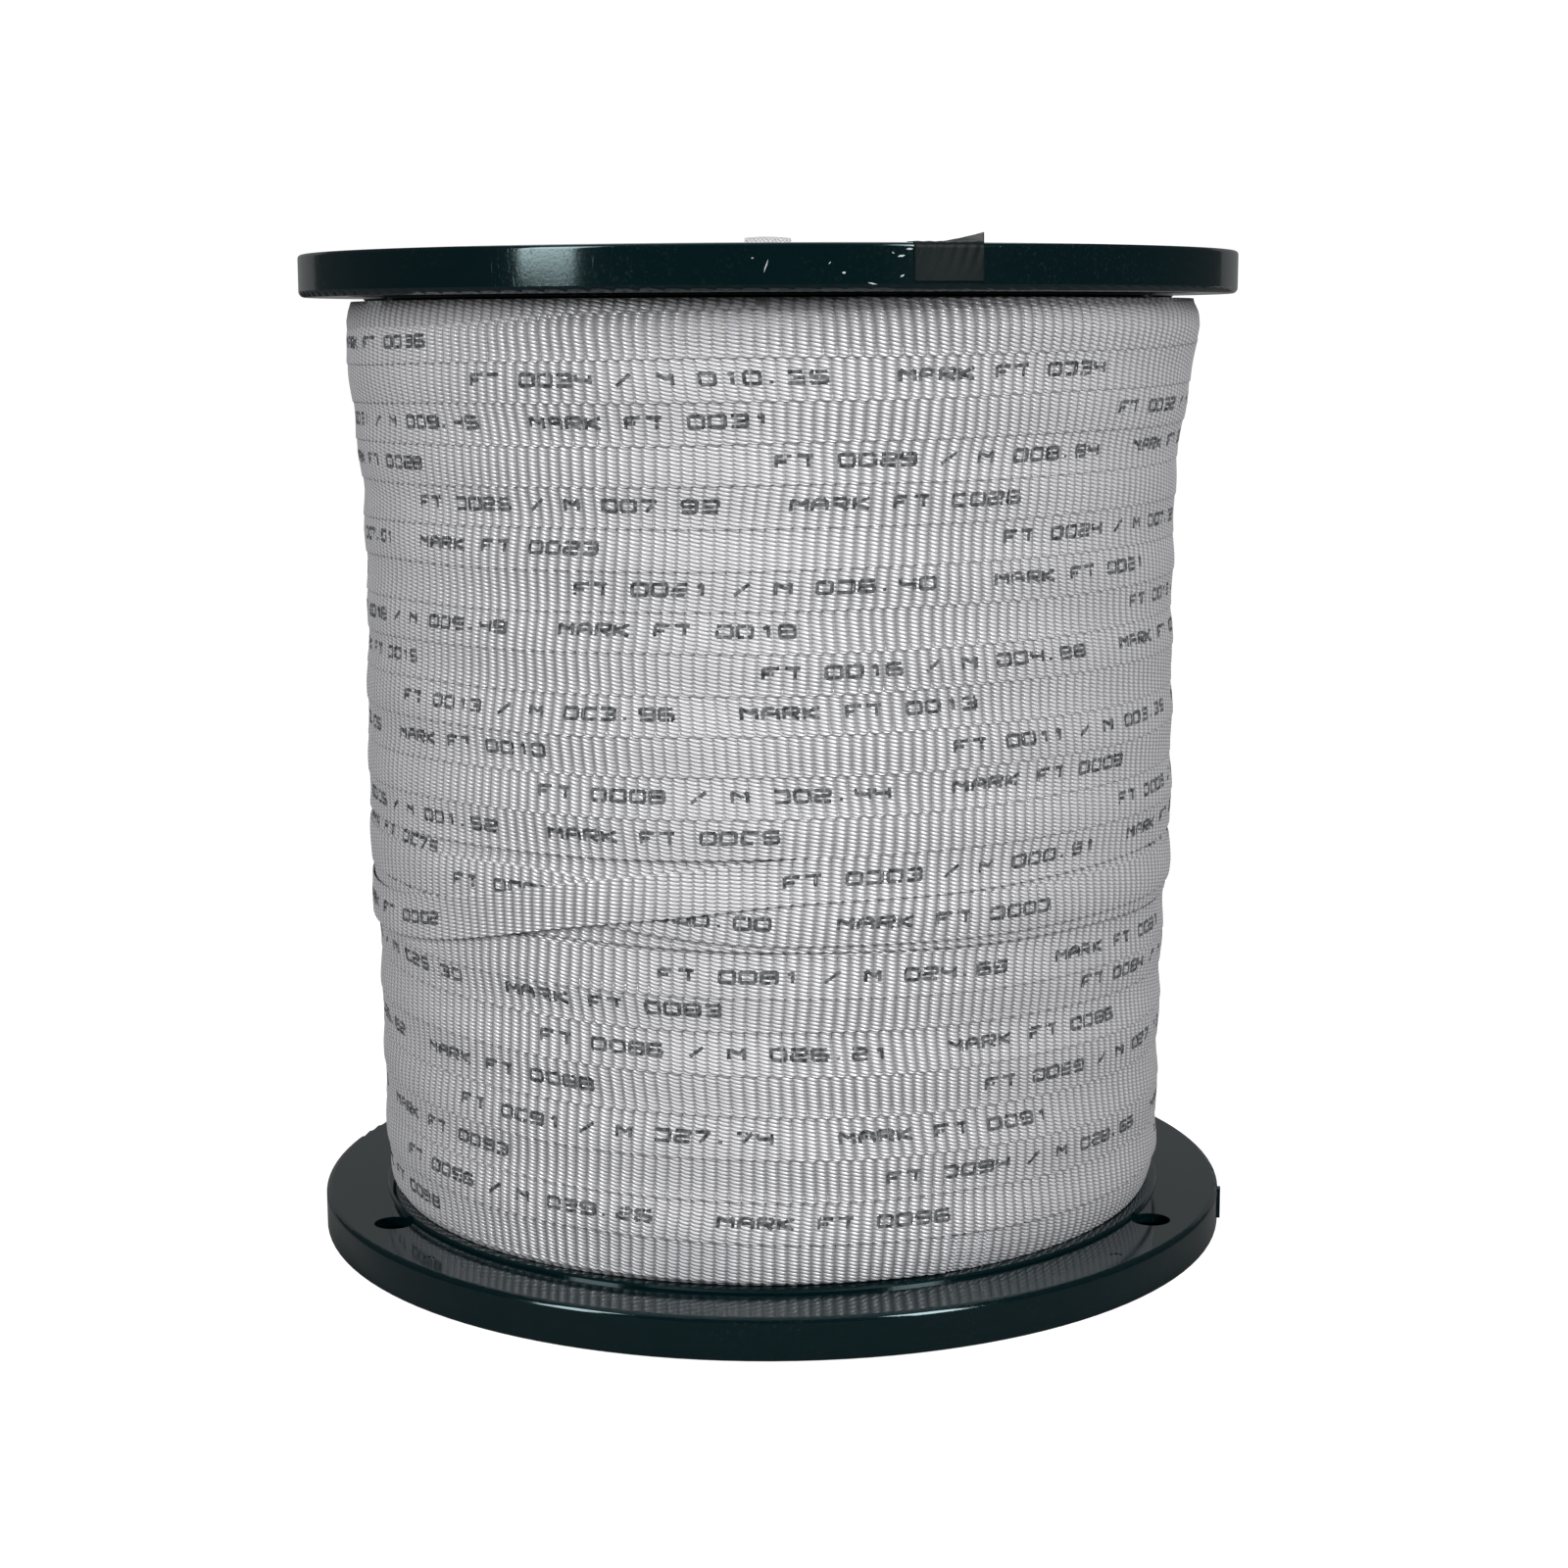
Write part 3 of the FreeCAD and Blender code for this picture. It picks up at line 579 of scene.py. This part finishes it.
def strip_slices(start, end):
    """Distances along the tape at which to cut a strip from start to end, in mm."""
    first, last = math.floor(start / RIB_PITCH), math.ceil(end / RIB_PITCH)
    ribs = np.arange(first, last)[:, None] + np.array(RIB_SLICES)[None, :]
    inside = ribs.ravel() * RIB_PITCH
    return np.concatenate([[start], inside[(inside > start + 0.3) & (inside < end - 0.3)], [end]])


def mesh_object(name, points, faces, finish, uv=None, smooth=True):
    """A mesh object from points in mm; faces are index rows of one length, uv one pair for each point."""
    mesh = bpy.data.meshes.new(name)
    mesh.from_pydata((np.asarray(points) * MM).tolist(), [], faces)
    mesh.polygons.foreach_set("use_smooth", [smooth] * len(mesh.polygons))
    if uv is not None:
        layer = mesh.uv_layers.new(name="tape_mm")
        corners = np.empty(len(mesh.loops), dtype=np.int32)
        mesh.loops.foreach_get("vertex_index", corners)
        layer.data.foreach_set("uv", np.asarray(uv, dtype=np.float32)[corners].ravel())
    mesh.materials.append(finish)
    made = bpy.data.objects.new(name, mesh)
    scene.collection.objects.link(made)
    return made


def ends_fixed(along, start, end):
    """1 along a strip, falling to 0 at both of its ends so that its cuts stay square."""
    return np.clip(np.minimum(along - start, end - along) / (3 * RIB_PITCH), 0.0, 1.0)


def strip(name, place, start, end):
    """A closed strip of tape from start to end, placed by place(along, across, rise)."""
    slices = strip_slices(start, end)
    face_along, face_across = np.meshgrid(slices, ACROSS_FACE, indexing="ij")
    strayed = face_along + rib_wander(face_along, face_across) * ends_fixed(face_along, start, end)
    face = place(strayed, scalloped(face_along, face_across), rib_relief(face_along, face_across))
    back_along, back_across = np.meshgrid(slices, ACROSS_BACK, indexing="ij")
    back = place(back_along, back_across, -TAPE_THICKNESS + EDGE_THINNING * (np.abs(back_across) > 5))
    points = np.concatenate([face, back], axis=1)
    uv = np.concatenate([
        np.stack([face_along, face_across], axis=-1), np.stack([back_along, back_across], axis=-1),
    ], axis=1)
    count, ring = points.shape[0], points.shape[1]
    here = np.arange(count - 1)[:, None] * ring + np.arange(ring)[None, :]
    beside = np.arange(count - 1)[:, None] * ring + (np.arange(ring)[None, :] + 1) % ring
    quads = np.stack([here, here + ring, beside + ring, beside], axis=-1).reshape(-1, 4).tolist()
    quads.append(list(range(ring)))
    quads.append([(count - 1) * ring + place_in_ring for place_in_ring in reversed(range(ring))])
    return mesh_object(name, points.reshape(-1, 3), quads, woven_tape, uv.reshape(-1, 2))


# %% [markdown]
# ## The two layers, in lengths
# A long helix is cut into lengths of three turns, which keeps each piece light enough to handle. The cuts are
# square and meet exactly, so they don't show.

# %% Wind the layers
OUTER_START, OUTER_END = -905.0, 4396.0
UNDER_START, UNDER_END = -1330.0, 2184.0
LENGTH_ANGLE = 1080.0

outer = Winding(
    outer_middle, OUTER_START, OUTER_END, outer_radius, -0.38, 0.0,
    lift=[(-455, -432, -375, -335, 0.75), (-930, -920, -700, -660, 0.02)],
)
under = Winding(under_middle, UNDER_START, UNDER_END, under_radius, -0.38, -0.66)
deep_top = Winding(
    lambda angle: np.full_like(angle, UPPER_BED - HALF_WIDTH), 4036, 4400, outer_radius, 0.1, -0.75
)
deep_bottom = Winding(
    lambda angle: np.full_like(angle, LOWER_BED + HALF_WIDTH), 1820, 2190, under_radius, 0.1, -1.4
)


def wind(prefix, winding, node):
    """Cuts a winding into strips, each standing for the frame's node."""
    count = math.ceil((winding.end - winding.start) / LENGTH_ANGLE)
    for number in range(count):
        first = winding.start + number * LENGTH_ANGLE
        last = min(first + LENGTH_ANGLE, winding.end)
        made = strip(f"{prefix}_{number + 1}", winding.place, winding.along_at(first), winding.along_at(last))
        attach(made, "reel")
        if node:
            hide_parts(node)
        print(made.name, len(made.data.polygons), "faces")


wind("tape_outer_length", outer, "tape_outer_layer")
wind("tape_under_length", under, "tape_second_layer")
wind("tape_turn_at_upper_flange", deep_top, None)
wind("tape_turn_at_lower_flange", deep_bottom, None)

# %% [markdown]
# ## The winding's inside
# The turns below the two layers hardly show. A lathed body fills them in, a little smaller than the bare
# layer, with the same woven finish and a soft step at each turn.

# %% Inner winding
CORE_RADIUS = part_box("core_tube")[1][0] / MM
PACK_DEPTH = 1.9
PACK_SEGMENTS, PACK_ROWS, ROWS_IN_A_TURN = 240, 96, 4
SEAM_DEPTH = 0.25


def lathe(name, outline, segments, finish):
    """Turns a closed outline of (radius, height) points about the reel's axis."""
    turns = np.radians(np.arange(segments) * 360.0 / segments)
    points = [(r * math.sin(t), -r * math.cos(t), z) for t in turns for r, z in outline]
    ring = len(outline)
    faces = []
    for column in range(segments):
        following = (column + 1) % segments
        for row in range(ring):
            up = (row + 1) % ring
            faces.append([column * ring + row, following * ring + row, following * ring + up, column * ring + up])
    uv = [(t * outer_radius, z) for t in turns for r, z in outline]
    return mesh_object(name, np.array(points), faces, finish, uv)


pack_outline = [(CORE_RADIUS, UPPER_BED), (CORE_RADIUS, LOWER_BED)]
for row in range(PACK_ROWS + 1):
    height = LOWER_BED + (UPPER_BED - LOWER_BED) * row / PACK_ROWS
    seam = SEAM_DEPTH * abs(math.sin(math.pi * row / ROWS_IN_A_TURN)) - SEAM_DEPTH
    pack_outline.append((float(np.interp(height, WALL_HEIGHTS, WALL_RADII)) - PACK_DEPTH + seam, height))
pack = lathe("tape_inner_winding", pack_outline, PACK_SEGMENTS, woven_tape)
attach(pack, "reel")
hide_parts("tape_inner_layers")
print("inner winding", len(pack.data.polygons), "faces")

# %% [markdown]
# ## Printed marks
# The tape carries a mark at every foot: the count in feet and metres, then the foot number again. The real print
# is laid down dot by dot on the ribs, so it breaks at every hollow between them. Each letter is a few straight
# strokes on a small grid. A stroke is cut into short dashes. A dash that would fall in a hollow is left out, and so
# are a few worn ones, most of them low on a rib. Each one left is a thin closed tile that lies on the rib.

# %% Stroke letters
LETTERS = {
    "0": "04 00 30 34 04", "1": "13 24 20", "2": "04 34 32 02 00 30", "3": "04 34 30 00|12 32", "4": "04 02 32|34 30",
    "5": "34 04 02 32 30 00", "6": "34 04 00 30 32 02", "7": "04 34 10", "8": "04 34 30 00 04|02 32",
    "9": "32 02 04 34 30 00", "A": "00 03 14 24 33 30|02 32", "F": "34 04 00|02 22", "K": "04 00|34 02 30",
    "M": "00 04 22 34 30", "R": "00 04 34 32 02|12 30", "T": "04 34|24 20", "/": "00 34", ".": "10 11",
}
CELL = 5.75
LETTER_WIDTH, LETTER_HEIGHT = 4.1, 3.0
STROKE = 1.0
DASH = 0.55
INK_RISE = 0.05
INK_DEPTH = 0.14
HOLLOW_CROWN, FLANK_CROWN = 0.08, 0.35
WORN_ANYWHERE, WORN_ON_FLANK = 0.02, 0.15
LONG_MARK_CELLS, MARK_GAP = 18, 17.7
MARK_LENGTH = LONG_MARK_CELLS * CELL + MARK_GAP + 12 * CELL - (CELL - LETTER_WIDTH)


def strokes(text):
    """Straight strokes of a text as (along, across) end points in mm, from its first letter's left edge."""
    found = []
    for cell, letter in enumerate(text):
        for run in LETTERS.get(letter, "").split("|"):
            corners = [
                (cell * CELL + int(spot[0]) / 3 * LETTER_WIDTH, (int(spot[1]) / 4 - 0.5) * LETTER_HEIGHT)
                for spot in run.split()
            ]
            found += list(zip(corners, corners[1:]))
    return found


def mark_strokes(feet):
    """Strokes of one foot mark; along is measured from the mark's end."""
    long_mark = f"FT {feet:04d} / M {feet * 0.3048:06.2f}"
    short_mark = f"MARK FT {feet:04d}"
    shift = LONG_MARK_CELLS * CELL + MARK_GAP
    both = strokes(long_mark) + [((a + shift, b), (c + shift, d)) for (a, b), (c, d) in strokes(short_mark)]
    return [((a - MARK_LENGTH, b), (c - MARK_LENGTH, d)) for (a, b), (c, d) in both]


def dashes(feet, end_along, chance):
    """Centres, directions and lengths of the ink dashes of one mark."""
    found = []
    for (a, b), (c, d) in mark_strokes(feet):
        length = math.hypot(c - a, d - b)
        count = max(1, round(length / DASH))
        along_unit, across_unit = (c - a) / length, (d - b) / length
        for number in range(count):
            part = (number + 0.5) / count
            along, across = end_along + a + (c - a) * part, b + (d - b) * part
            crown = rib_crown(along)
            worn = chance.random()
            if crown < HOLLOW_CROWN or worn < WORN_ANYWHERE or (crown < FLANK_CROWN and worn < WORN_ON_FLANK):
                continue
            found.append((along, across, along_unit, across_unit, length / count))
    return found


print("letters:", len(LETTERS), "mark length %.0f mm" % MARK_LENGTH)

# %% [markdown]
# ## Ink
# The ink is a grey-black that has soaked in a little, so it is matt and uneven.

# %% Ink finish
def ink_finish():
    material, tree, shader = new_material("print_ink", Specular_IOR_Level=0.3)
    place = add_node(tree, "ShaderNodeTexCoord").outputs["Object"]
    soak = add_node(tree, "ShaderNodeTexNoise", {"Scale": 700.0, "Detail": 2.0, "Roughness": 0.6})
    tree.links.new(place, soak.inputs["Vector"])
    reach = add_node(tree, "ShaderNodeMapRange", {"From Min": 0.35, "From Max": 0.7})
    tree.links.new(soak.outputs["Fac"], reach.inputs["Value"])
    colour = blend_colours(tree, reach.outputs[0], (0.022, 0.027, 0.029), (0.20, 0.205, 0.21))
    tree.links.new(colour, shader.inputs["Base Color"])
    shader.inputs["Roughness"].default_value = 0.75
    return material


print_ink = ink_finish()


# The six sides of a small tile whose first four corners are its face and last four its back.
BOX_FACES = [[0, 1, 2, 3], [7, 6, 5, 4], [0, 4, 5, 1], [1, 5, 6, 2], [2, 6, 7, 3], [3, 7, 4, 0]]


def print_marks(name, winding, feet_list, end_angle, chance):
    """One piece with the marks of these feet on a winding."""
    rows = []
    for feet in feet_list:
        rows += dashes(feet, winding.along_at(end_angle(feet)), chance)
    rows = np.array(rows)
    middle, run = rows[:, 0:2], rows[:, 2:4]
    aside = np.stack([-run[:, 1], run[:, 0]], axis=1)
    reach = run * (rows[:, 4:5] * 0.5 + 0.06)
    spread = aside * (STROKE / 2) * (0.85 + 0.3 * np.array([chance.random() for _ in rows]))[:, None]
    before, after = middle - reach, middle + reach
    corners = np.stack([before - spread, after - spread, after + spread, before + spread], axis=1)
    relief = rib_relief(corners[..., 0], corners[..., 1])
    strayed = corners[..., 0] + rib_wander(corners[..., 0], corners[..., 1])
    over = winding.place(strayed, corners[..., 1], relief + INK_RISE)
    below = winding.place(strayed, corners[..., 1], relief - INK_DEPTH)
    points = np.concatenate([over, below], axis=1).reshape(-1, 3)
    faces = (np.arange(len(rows))[:, None, None] * 8 + np.array(BOX_FACES)[None]).reshape(-1, 4).tolist()
    made = mesh_object(name, points, faces, print_ink, smooth=False)
    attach(made, "reel")
    print(name, len(rows), "dashes")


PRINT_SEED = 5
chance = random.Random(PRINT_SEED)

OUTER_FEET = [0, 2, 5, 10, 13, 15, 18, 21, 23, 26, 28, 31, 34, 37]
LOW_STEP_GROWTH, LOW_STEP_FOOT = 0.3, 90
OUTER_ANGLES = [-681, -410, 1, 690, 1107, 1385, 1803, 2220, 2498, 2913, 3189, 3600, 4006, 4405]


def outer_mark_end(feet):
    """The outer layer's foot marks drift as the winding swells, so their angles are read between known ones."""
    return float(np.interp(feet, OUTER_FEET, OUTER_ANGLES))


def under_mark_end(feet):
    """The bare layer's foot marks keep one step, which grows a little near the bottom."""
    passed = feet - UNDER_FRONT_FOOT
    return UNDER_FRONT_ANGLE + UNDER_FOOT_ANGLE * passed + LOW_STEP_GROWTH * passed * (feet > LOW_STEP_FOOT)


OUTER_LAST_MARK = 36
UNDER_FIRST_MARK, UNDER_LAST_MARK = 74, 98
MARKS_IN_A_PIECE = 9
for first in range(0, OUTER_LAST_MARK + 1, MARKS_IN_A_PIECE):
    feet_list = range(first, min(first + MARKS_IN_A_PIECE, OUTER_LAST_MARK + 1))
    print_marks(f"outer_print_{first:02d}", outer, feet_list, outer_mark_end, chance)
for first in range(UNDER_FIRST_MARK, UNDER_LAST_MARK + 1, MARKS_IN_A_PIECE):
    feet_list = range(first, min(first + MARKS_IN_A_PIECE, UNDER_LAST_MARK + 1))
    print_marks(f"under_print_{first:02d}", under, feet_list, under_mark_end, chance)

# %% [markdown]
# ## The inner end
# The inner end of the tape comes up through a slot in the upper flange and bends over in a low arch. It is the
# same woven strip, laid along a bent path instead of round the winding. From the slot's lip the piece turns
# smoothly from the reel to the loose end across the first bend.

# %% Tail strip
tail_low, tail_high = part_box("tape_tail")
TAIL_ROOT_OUT = -tail_high[1] / MM
TAIL_TIP_OUT = -tail_low[1] / MM
TAIL_BASE = tail_low[2] / MM
TAIL_RADIUS = 13.0
TAIL_RISE = math.radians(10.0)
TAIL_CROWN = 60.0
TAIL_FALL = math.radians(32.0)
CAD_THICKNESS = 1.0


def tail_path():
    """The arch's face line as (outward, height) points in mm, from the slot to the tip."""
    out, height = TAIL_ROOT_OUT + CAD_THICKNESS * 0.25, TAIL_BASE
    slope, points = math.pi / 2, [(out, height)]
    plan = [(0.6, math.pi / 2), (TAIL_RADIUS * (math.pi / 2 - TAIL_RISE), TAIL_RISE), (12.0, TAIL_RISE)]
    plan += [(TAIL_CROWN * (TAIL_RISE + TAIL_FALL), -TAIL_FALL), (60.0, -TAIL_FALL)]
    for length, end_slope in plan:
        pieces = max(2, int(length / 0.4))
        start_slope = slope
        for number in range(pieces):
            slope = start_slope + (end_slope - start_slope) * (number + 0.5) / pieces
            out += math.cos(slope) * length / pieces
            height += math.sin(slope) * length / pieces
            if out > TAIL_TIP_OUT - 0.8 or (height < TAIL_BASE + 5.1 and slope < 0):
                return np.array(points)
            points.append((out, height))
        slope = end_slope
    return np.array(points)


tail_line = tail_path()
tail_steps = np.hypot(*np.diff(tail_line, axis=0).T)
tail_along = np.concatenate([[0.0], np.cumsum(tail_steps)])
tail_slope = np.gradient(tail_line, tail_along, axis=0)


def tail_place(along, across, rise):
    """Points on the arch; rise is along the face's normal, and the strip cups a little across its width."""
    out = np.interp(along, tail_along, tail_line[:, 0])
    height = np.interp(along, tail_along, tail_line[:, 1])
    run_out = np.interp(along, tail_along, tail_slope[:, 0])
    run_up = np.interp(along, tail_along, tail_slope[:, 1])
    cup = rise - 0.35 * (across / HALF_WIDTH) ** 2 * step(along, 10, 30)
    twist = 0.02 * across * step(along, 20, 70)
    return np.stack([-across, -(out - run_up * cup), height + run_out * (cup + twist)], axis=-1)


tail = strip("tape_inner_end", tail_place, 0.0, float(tail_along[-1]) - 0.01)
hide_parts("tape_tail")
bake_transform(tail)
print("inner end %.0f mm long" % tail_along[-1])

# %% [markdown]
# ## Sticker on the rim
# A plain strip of dark film is stuck over the upper rim. Film like this creases where it turns the edge and its
# corners lift, so it is a fine grid that is wrapped round the rim and then raised where the glue has let go.

# %% Rim sticker
sticker_low, sticker_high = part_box("rim_sticker")
flange_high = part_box("upper_flange")[1]
RIM_TOP = flange_high[2] / MM
RIM_RADIUS = flange_high[0] / MM
STICKER_MIDDLE = math.degrees(math.atan2(sticker_low[0] + sticker_high[0], -(sticker_low[1] + sticker_high[1])))
STICKER_WIDTH, STICKER_SIDE, STICKER_FOLD = 20.0, 10.0, 6.0
FILM = 0.22
BEND_RADIUS = 1.3
CORNER_LIFT, CORNER_SKEW = 2.6, 0.55
CREASE, GLUE = 0.06, 0.08


def sticker_point(around, down, rise):
    """A point on the film: around the rim and down its side in mm (less than zero lies on the rim's top)."""
    bend = BEND_RADIUS * math.pi / 2
    lift = CORNER_LIFT * max(0.0, (around + 1.0) / 11.0) ** 1.3 * max(0.0, -down / STICKER_FOLD) ** 1.2
    crease = CREASE * math.sin(around * 1.9 + down * 0.6) * (1 - min(1.0, abs(down) / 9))
    rise = rise + crease + GLUE
    if down > bend / 2:
        radius, height = RIM_RADIUS + rise, RIM_TOP - BEND_RADIUS - (down - bend / 2)
    elif down < -bend / 2:
        radius, height = RIM_RADIUS - BEND_RADIUS + (down + bend / 2), RIM_TOP + rise
    else:
        turn = (bend / 2 - down) / bend * math.pi / 2
        radius = RIM_RADIUS - BEND_RADIUS + (BEND_RADIUS + rise) * math.cos(turn)
        height = RIM_TOP - BEND_RADIUS + (BEND_RADIUS + rise) * math.sin(turn)
    skew = CORNER_SKEW * max(0.0, -down) * max(0.0, around / 10.0)
    angle = math.radians(STICKER_MIDDLE) + (around + skew) / RIM_RADIUS
    return (radius * math.sin(angle), -radius * math.cos(angle), height + lift)


def film_grid(name, columns, rows, place, finish):
    """A closed sheet with a front and a back grid, joined round its edge."""
    points = []
    for rise in (FILM, 0.0):
        for row in range(rows + 1):
            for column in range(columns + 1):
                points.append(place(column / columns, row / rows, rise))
    wide, layer = columns + 1, (columns + 1) * (rows + 1)
    faces = []
    for row in range(rows):
        for column in range(columns):
            corner = row * wide + column
            faces.append([corner, corner + wide, corner + wide + 1, corner + 1])
            faces.append([corner + layer, corner + layer + 1, corner + layer + wide + 1, corner + layer + wide])
    border = list(range(wide)) + [row * wide + columns for row in range(1, rows + 1)]
    border += [rows * wide + column for column in reversed(range(columns))]
    border += [row * wide for row in reversed(range(1, rows))]
    for here, following in zip(border, border[1:] + border[:1]):
        faces.append([here, following, following + layer, here + layer])
    return mesh_object(name, np.array(points), faces, finish)


def film_place(part_round, part_down, rise):
    down = -STICKER_FOLD + part_down * (STICKER_FOLD + STICKER_SIDE)
    return sticker_point((part_round - 0.5) * STICKER_WIDTH, down, rise)


sticker = film_grid("rim_film", 48, 44, film_place, sticker_film)
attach(sticker, "reel")
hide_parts("rim_sticker")
print("sticker at %.1f degrees" % STICKER_MIDDLE)

# %% [markdown]
# ## Nicks on the upper rim
# The rim has been knocked in a few places beside the film. Each nick is a small scratch scar, thin at both ends and a
# hair proud of the side, and its pale colour is a painted glint.

# %% Rim nicks
# The scars' pale colour is a painted glint on the rim's scratches.
nick_painted_glint = hard_finish(
    "nick_painted_glint", (0.50, 0.53, 0.54), (0.30, 0.32, 0.33), 0.45,
    {"Grain per mm": 2.0, "Scratches": 0.5, "Dust": 0.6}, 0.04,
)
# Angle from the front in degrees, height, length, width and tilt in degrees; the rest in mm.
NICKS = [
    (-0.2, 299.9, 3.8, 0.40, 72), (-1.6, 301.9, 0.8, 0.30, 10), (7.9, 298.1, 1.1, 0.70, 20),
    (6.4, 300.6, 0.9, 0.25, 60), (14.1, 297.3, 1.4, 0.50, 35), (14.0, 302.4, 2.2, 0.60, 12),
    (13.1, 303.2, 0.8, 0.35, -30), (14.9, 304.2, 2.0, 0.55, 4), (10.9, 295.3, 2.6, 0.40, -8),
]
NICK_PROUD, NICK_DEPTH = 0.06, 0.12


def nick_points(angle, height, length, width, tilt):
    """Eight corners of one scar: four on its face and four let into the rim."""
    lean = math.radians(tilt)
    found = []
    for rise in (NICK_PROUD, -NICK_DEPTH):
        outline = ((-length / 2, 0), (0.1 * length, -width / 2), (length / 2, 0), (-0.15 * length, width / 2))
        for run, side in outline:
            around = run * math.cos(lean) - side * math.sin(lean)
            turn = math.radians(angle) + around / RIM_RADIUS
            up = run * math.sin(lean) + side * math.cos(lean)
            radius = RIM_RADIUS + rise
            found.append((radius * math.sin(turn), -radius * math.cos(turn), height + up))
    return found


nick_faces = [[number * 8 + corner for corner in face] for number in range(len(NICKS)) for face in BOX_FACES]
nick_corners = [point for values in NICKS for point in nick_points(*values)]
nicks = mesh_object("rim_nicks", nick_corners, nick_faces, nick_painted_glint, smooth=False)
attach(nicks, "reel")
print("nicks:", len(NICKS))

# %% [markdown]
# ## Floor finish
# The floor is a matt grey whose glow only the camera sees, so it looks plain white and still throws little light
# back.

# %% Floor finish
FLOOR_SEEN = 1.02
floor_white, floor_tree, floor_shader = new_material("floor_white", Roughness=0.9, Specular_IOR_Level=0.1)
paper = add_node(floor_tree, "ShaderNodeTexNoise", {"Scale": 3.0, "Detail": 3.0})
floor_colour = blend_colours(floor_tree, paper.outputs["Fac"], (0.16, 0.16, 0.16), (0.17, 0.17, 0.17))
floor_tree.links.new(floor_colour, floor_shader.inputs["Base Color"])
floor_glow = add_node(floor_tree, "ShaderNodeLightPath")
floor_shader.inputs["Emission Color"].default_value = (1, 1, 1, 1)
floor_strength = maths(floor_tree, "MULTIPLY", floor_glow.outputs["Is Camera Ray"], FLOOR_SEEN)
floor_tree.links.new(floor_strength, floor_shader.inputs["Emission Strength"])
floor_mesh.materials.append(floor_white)
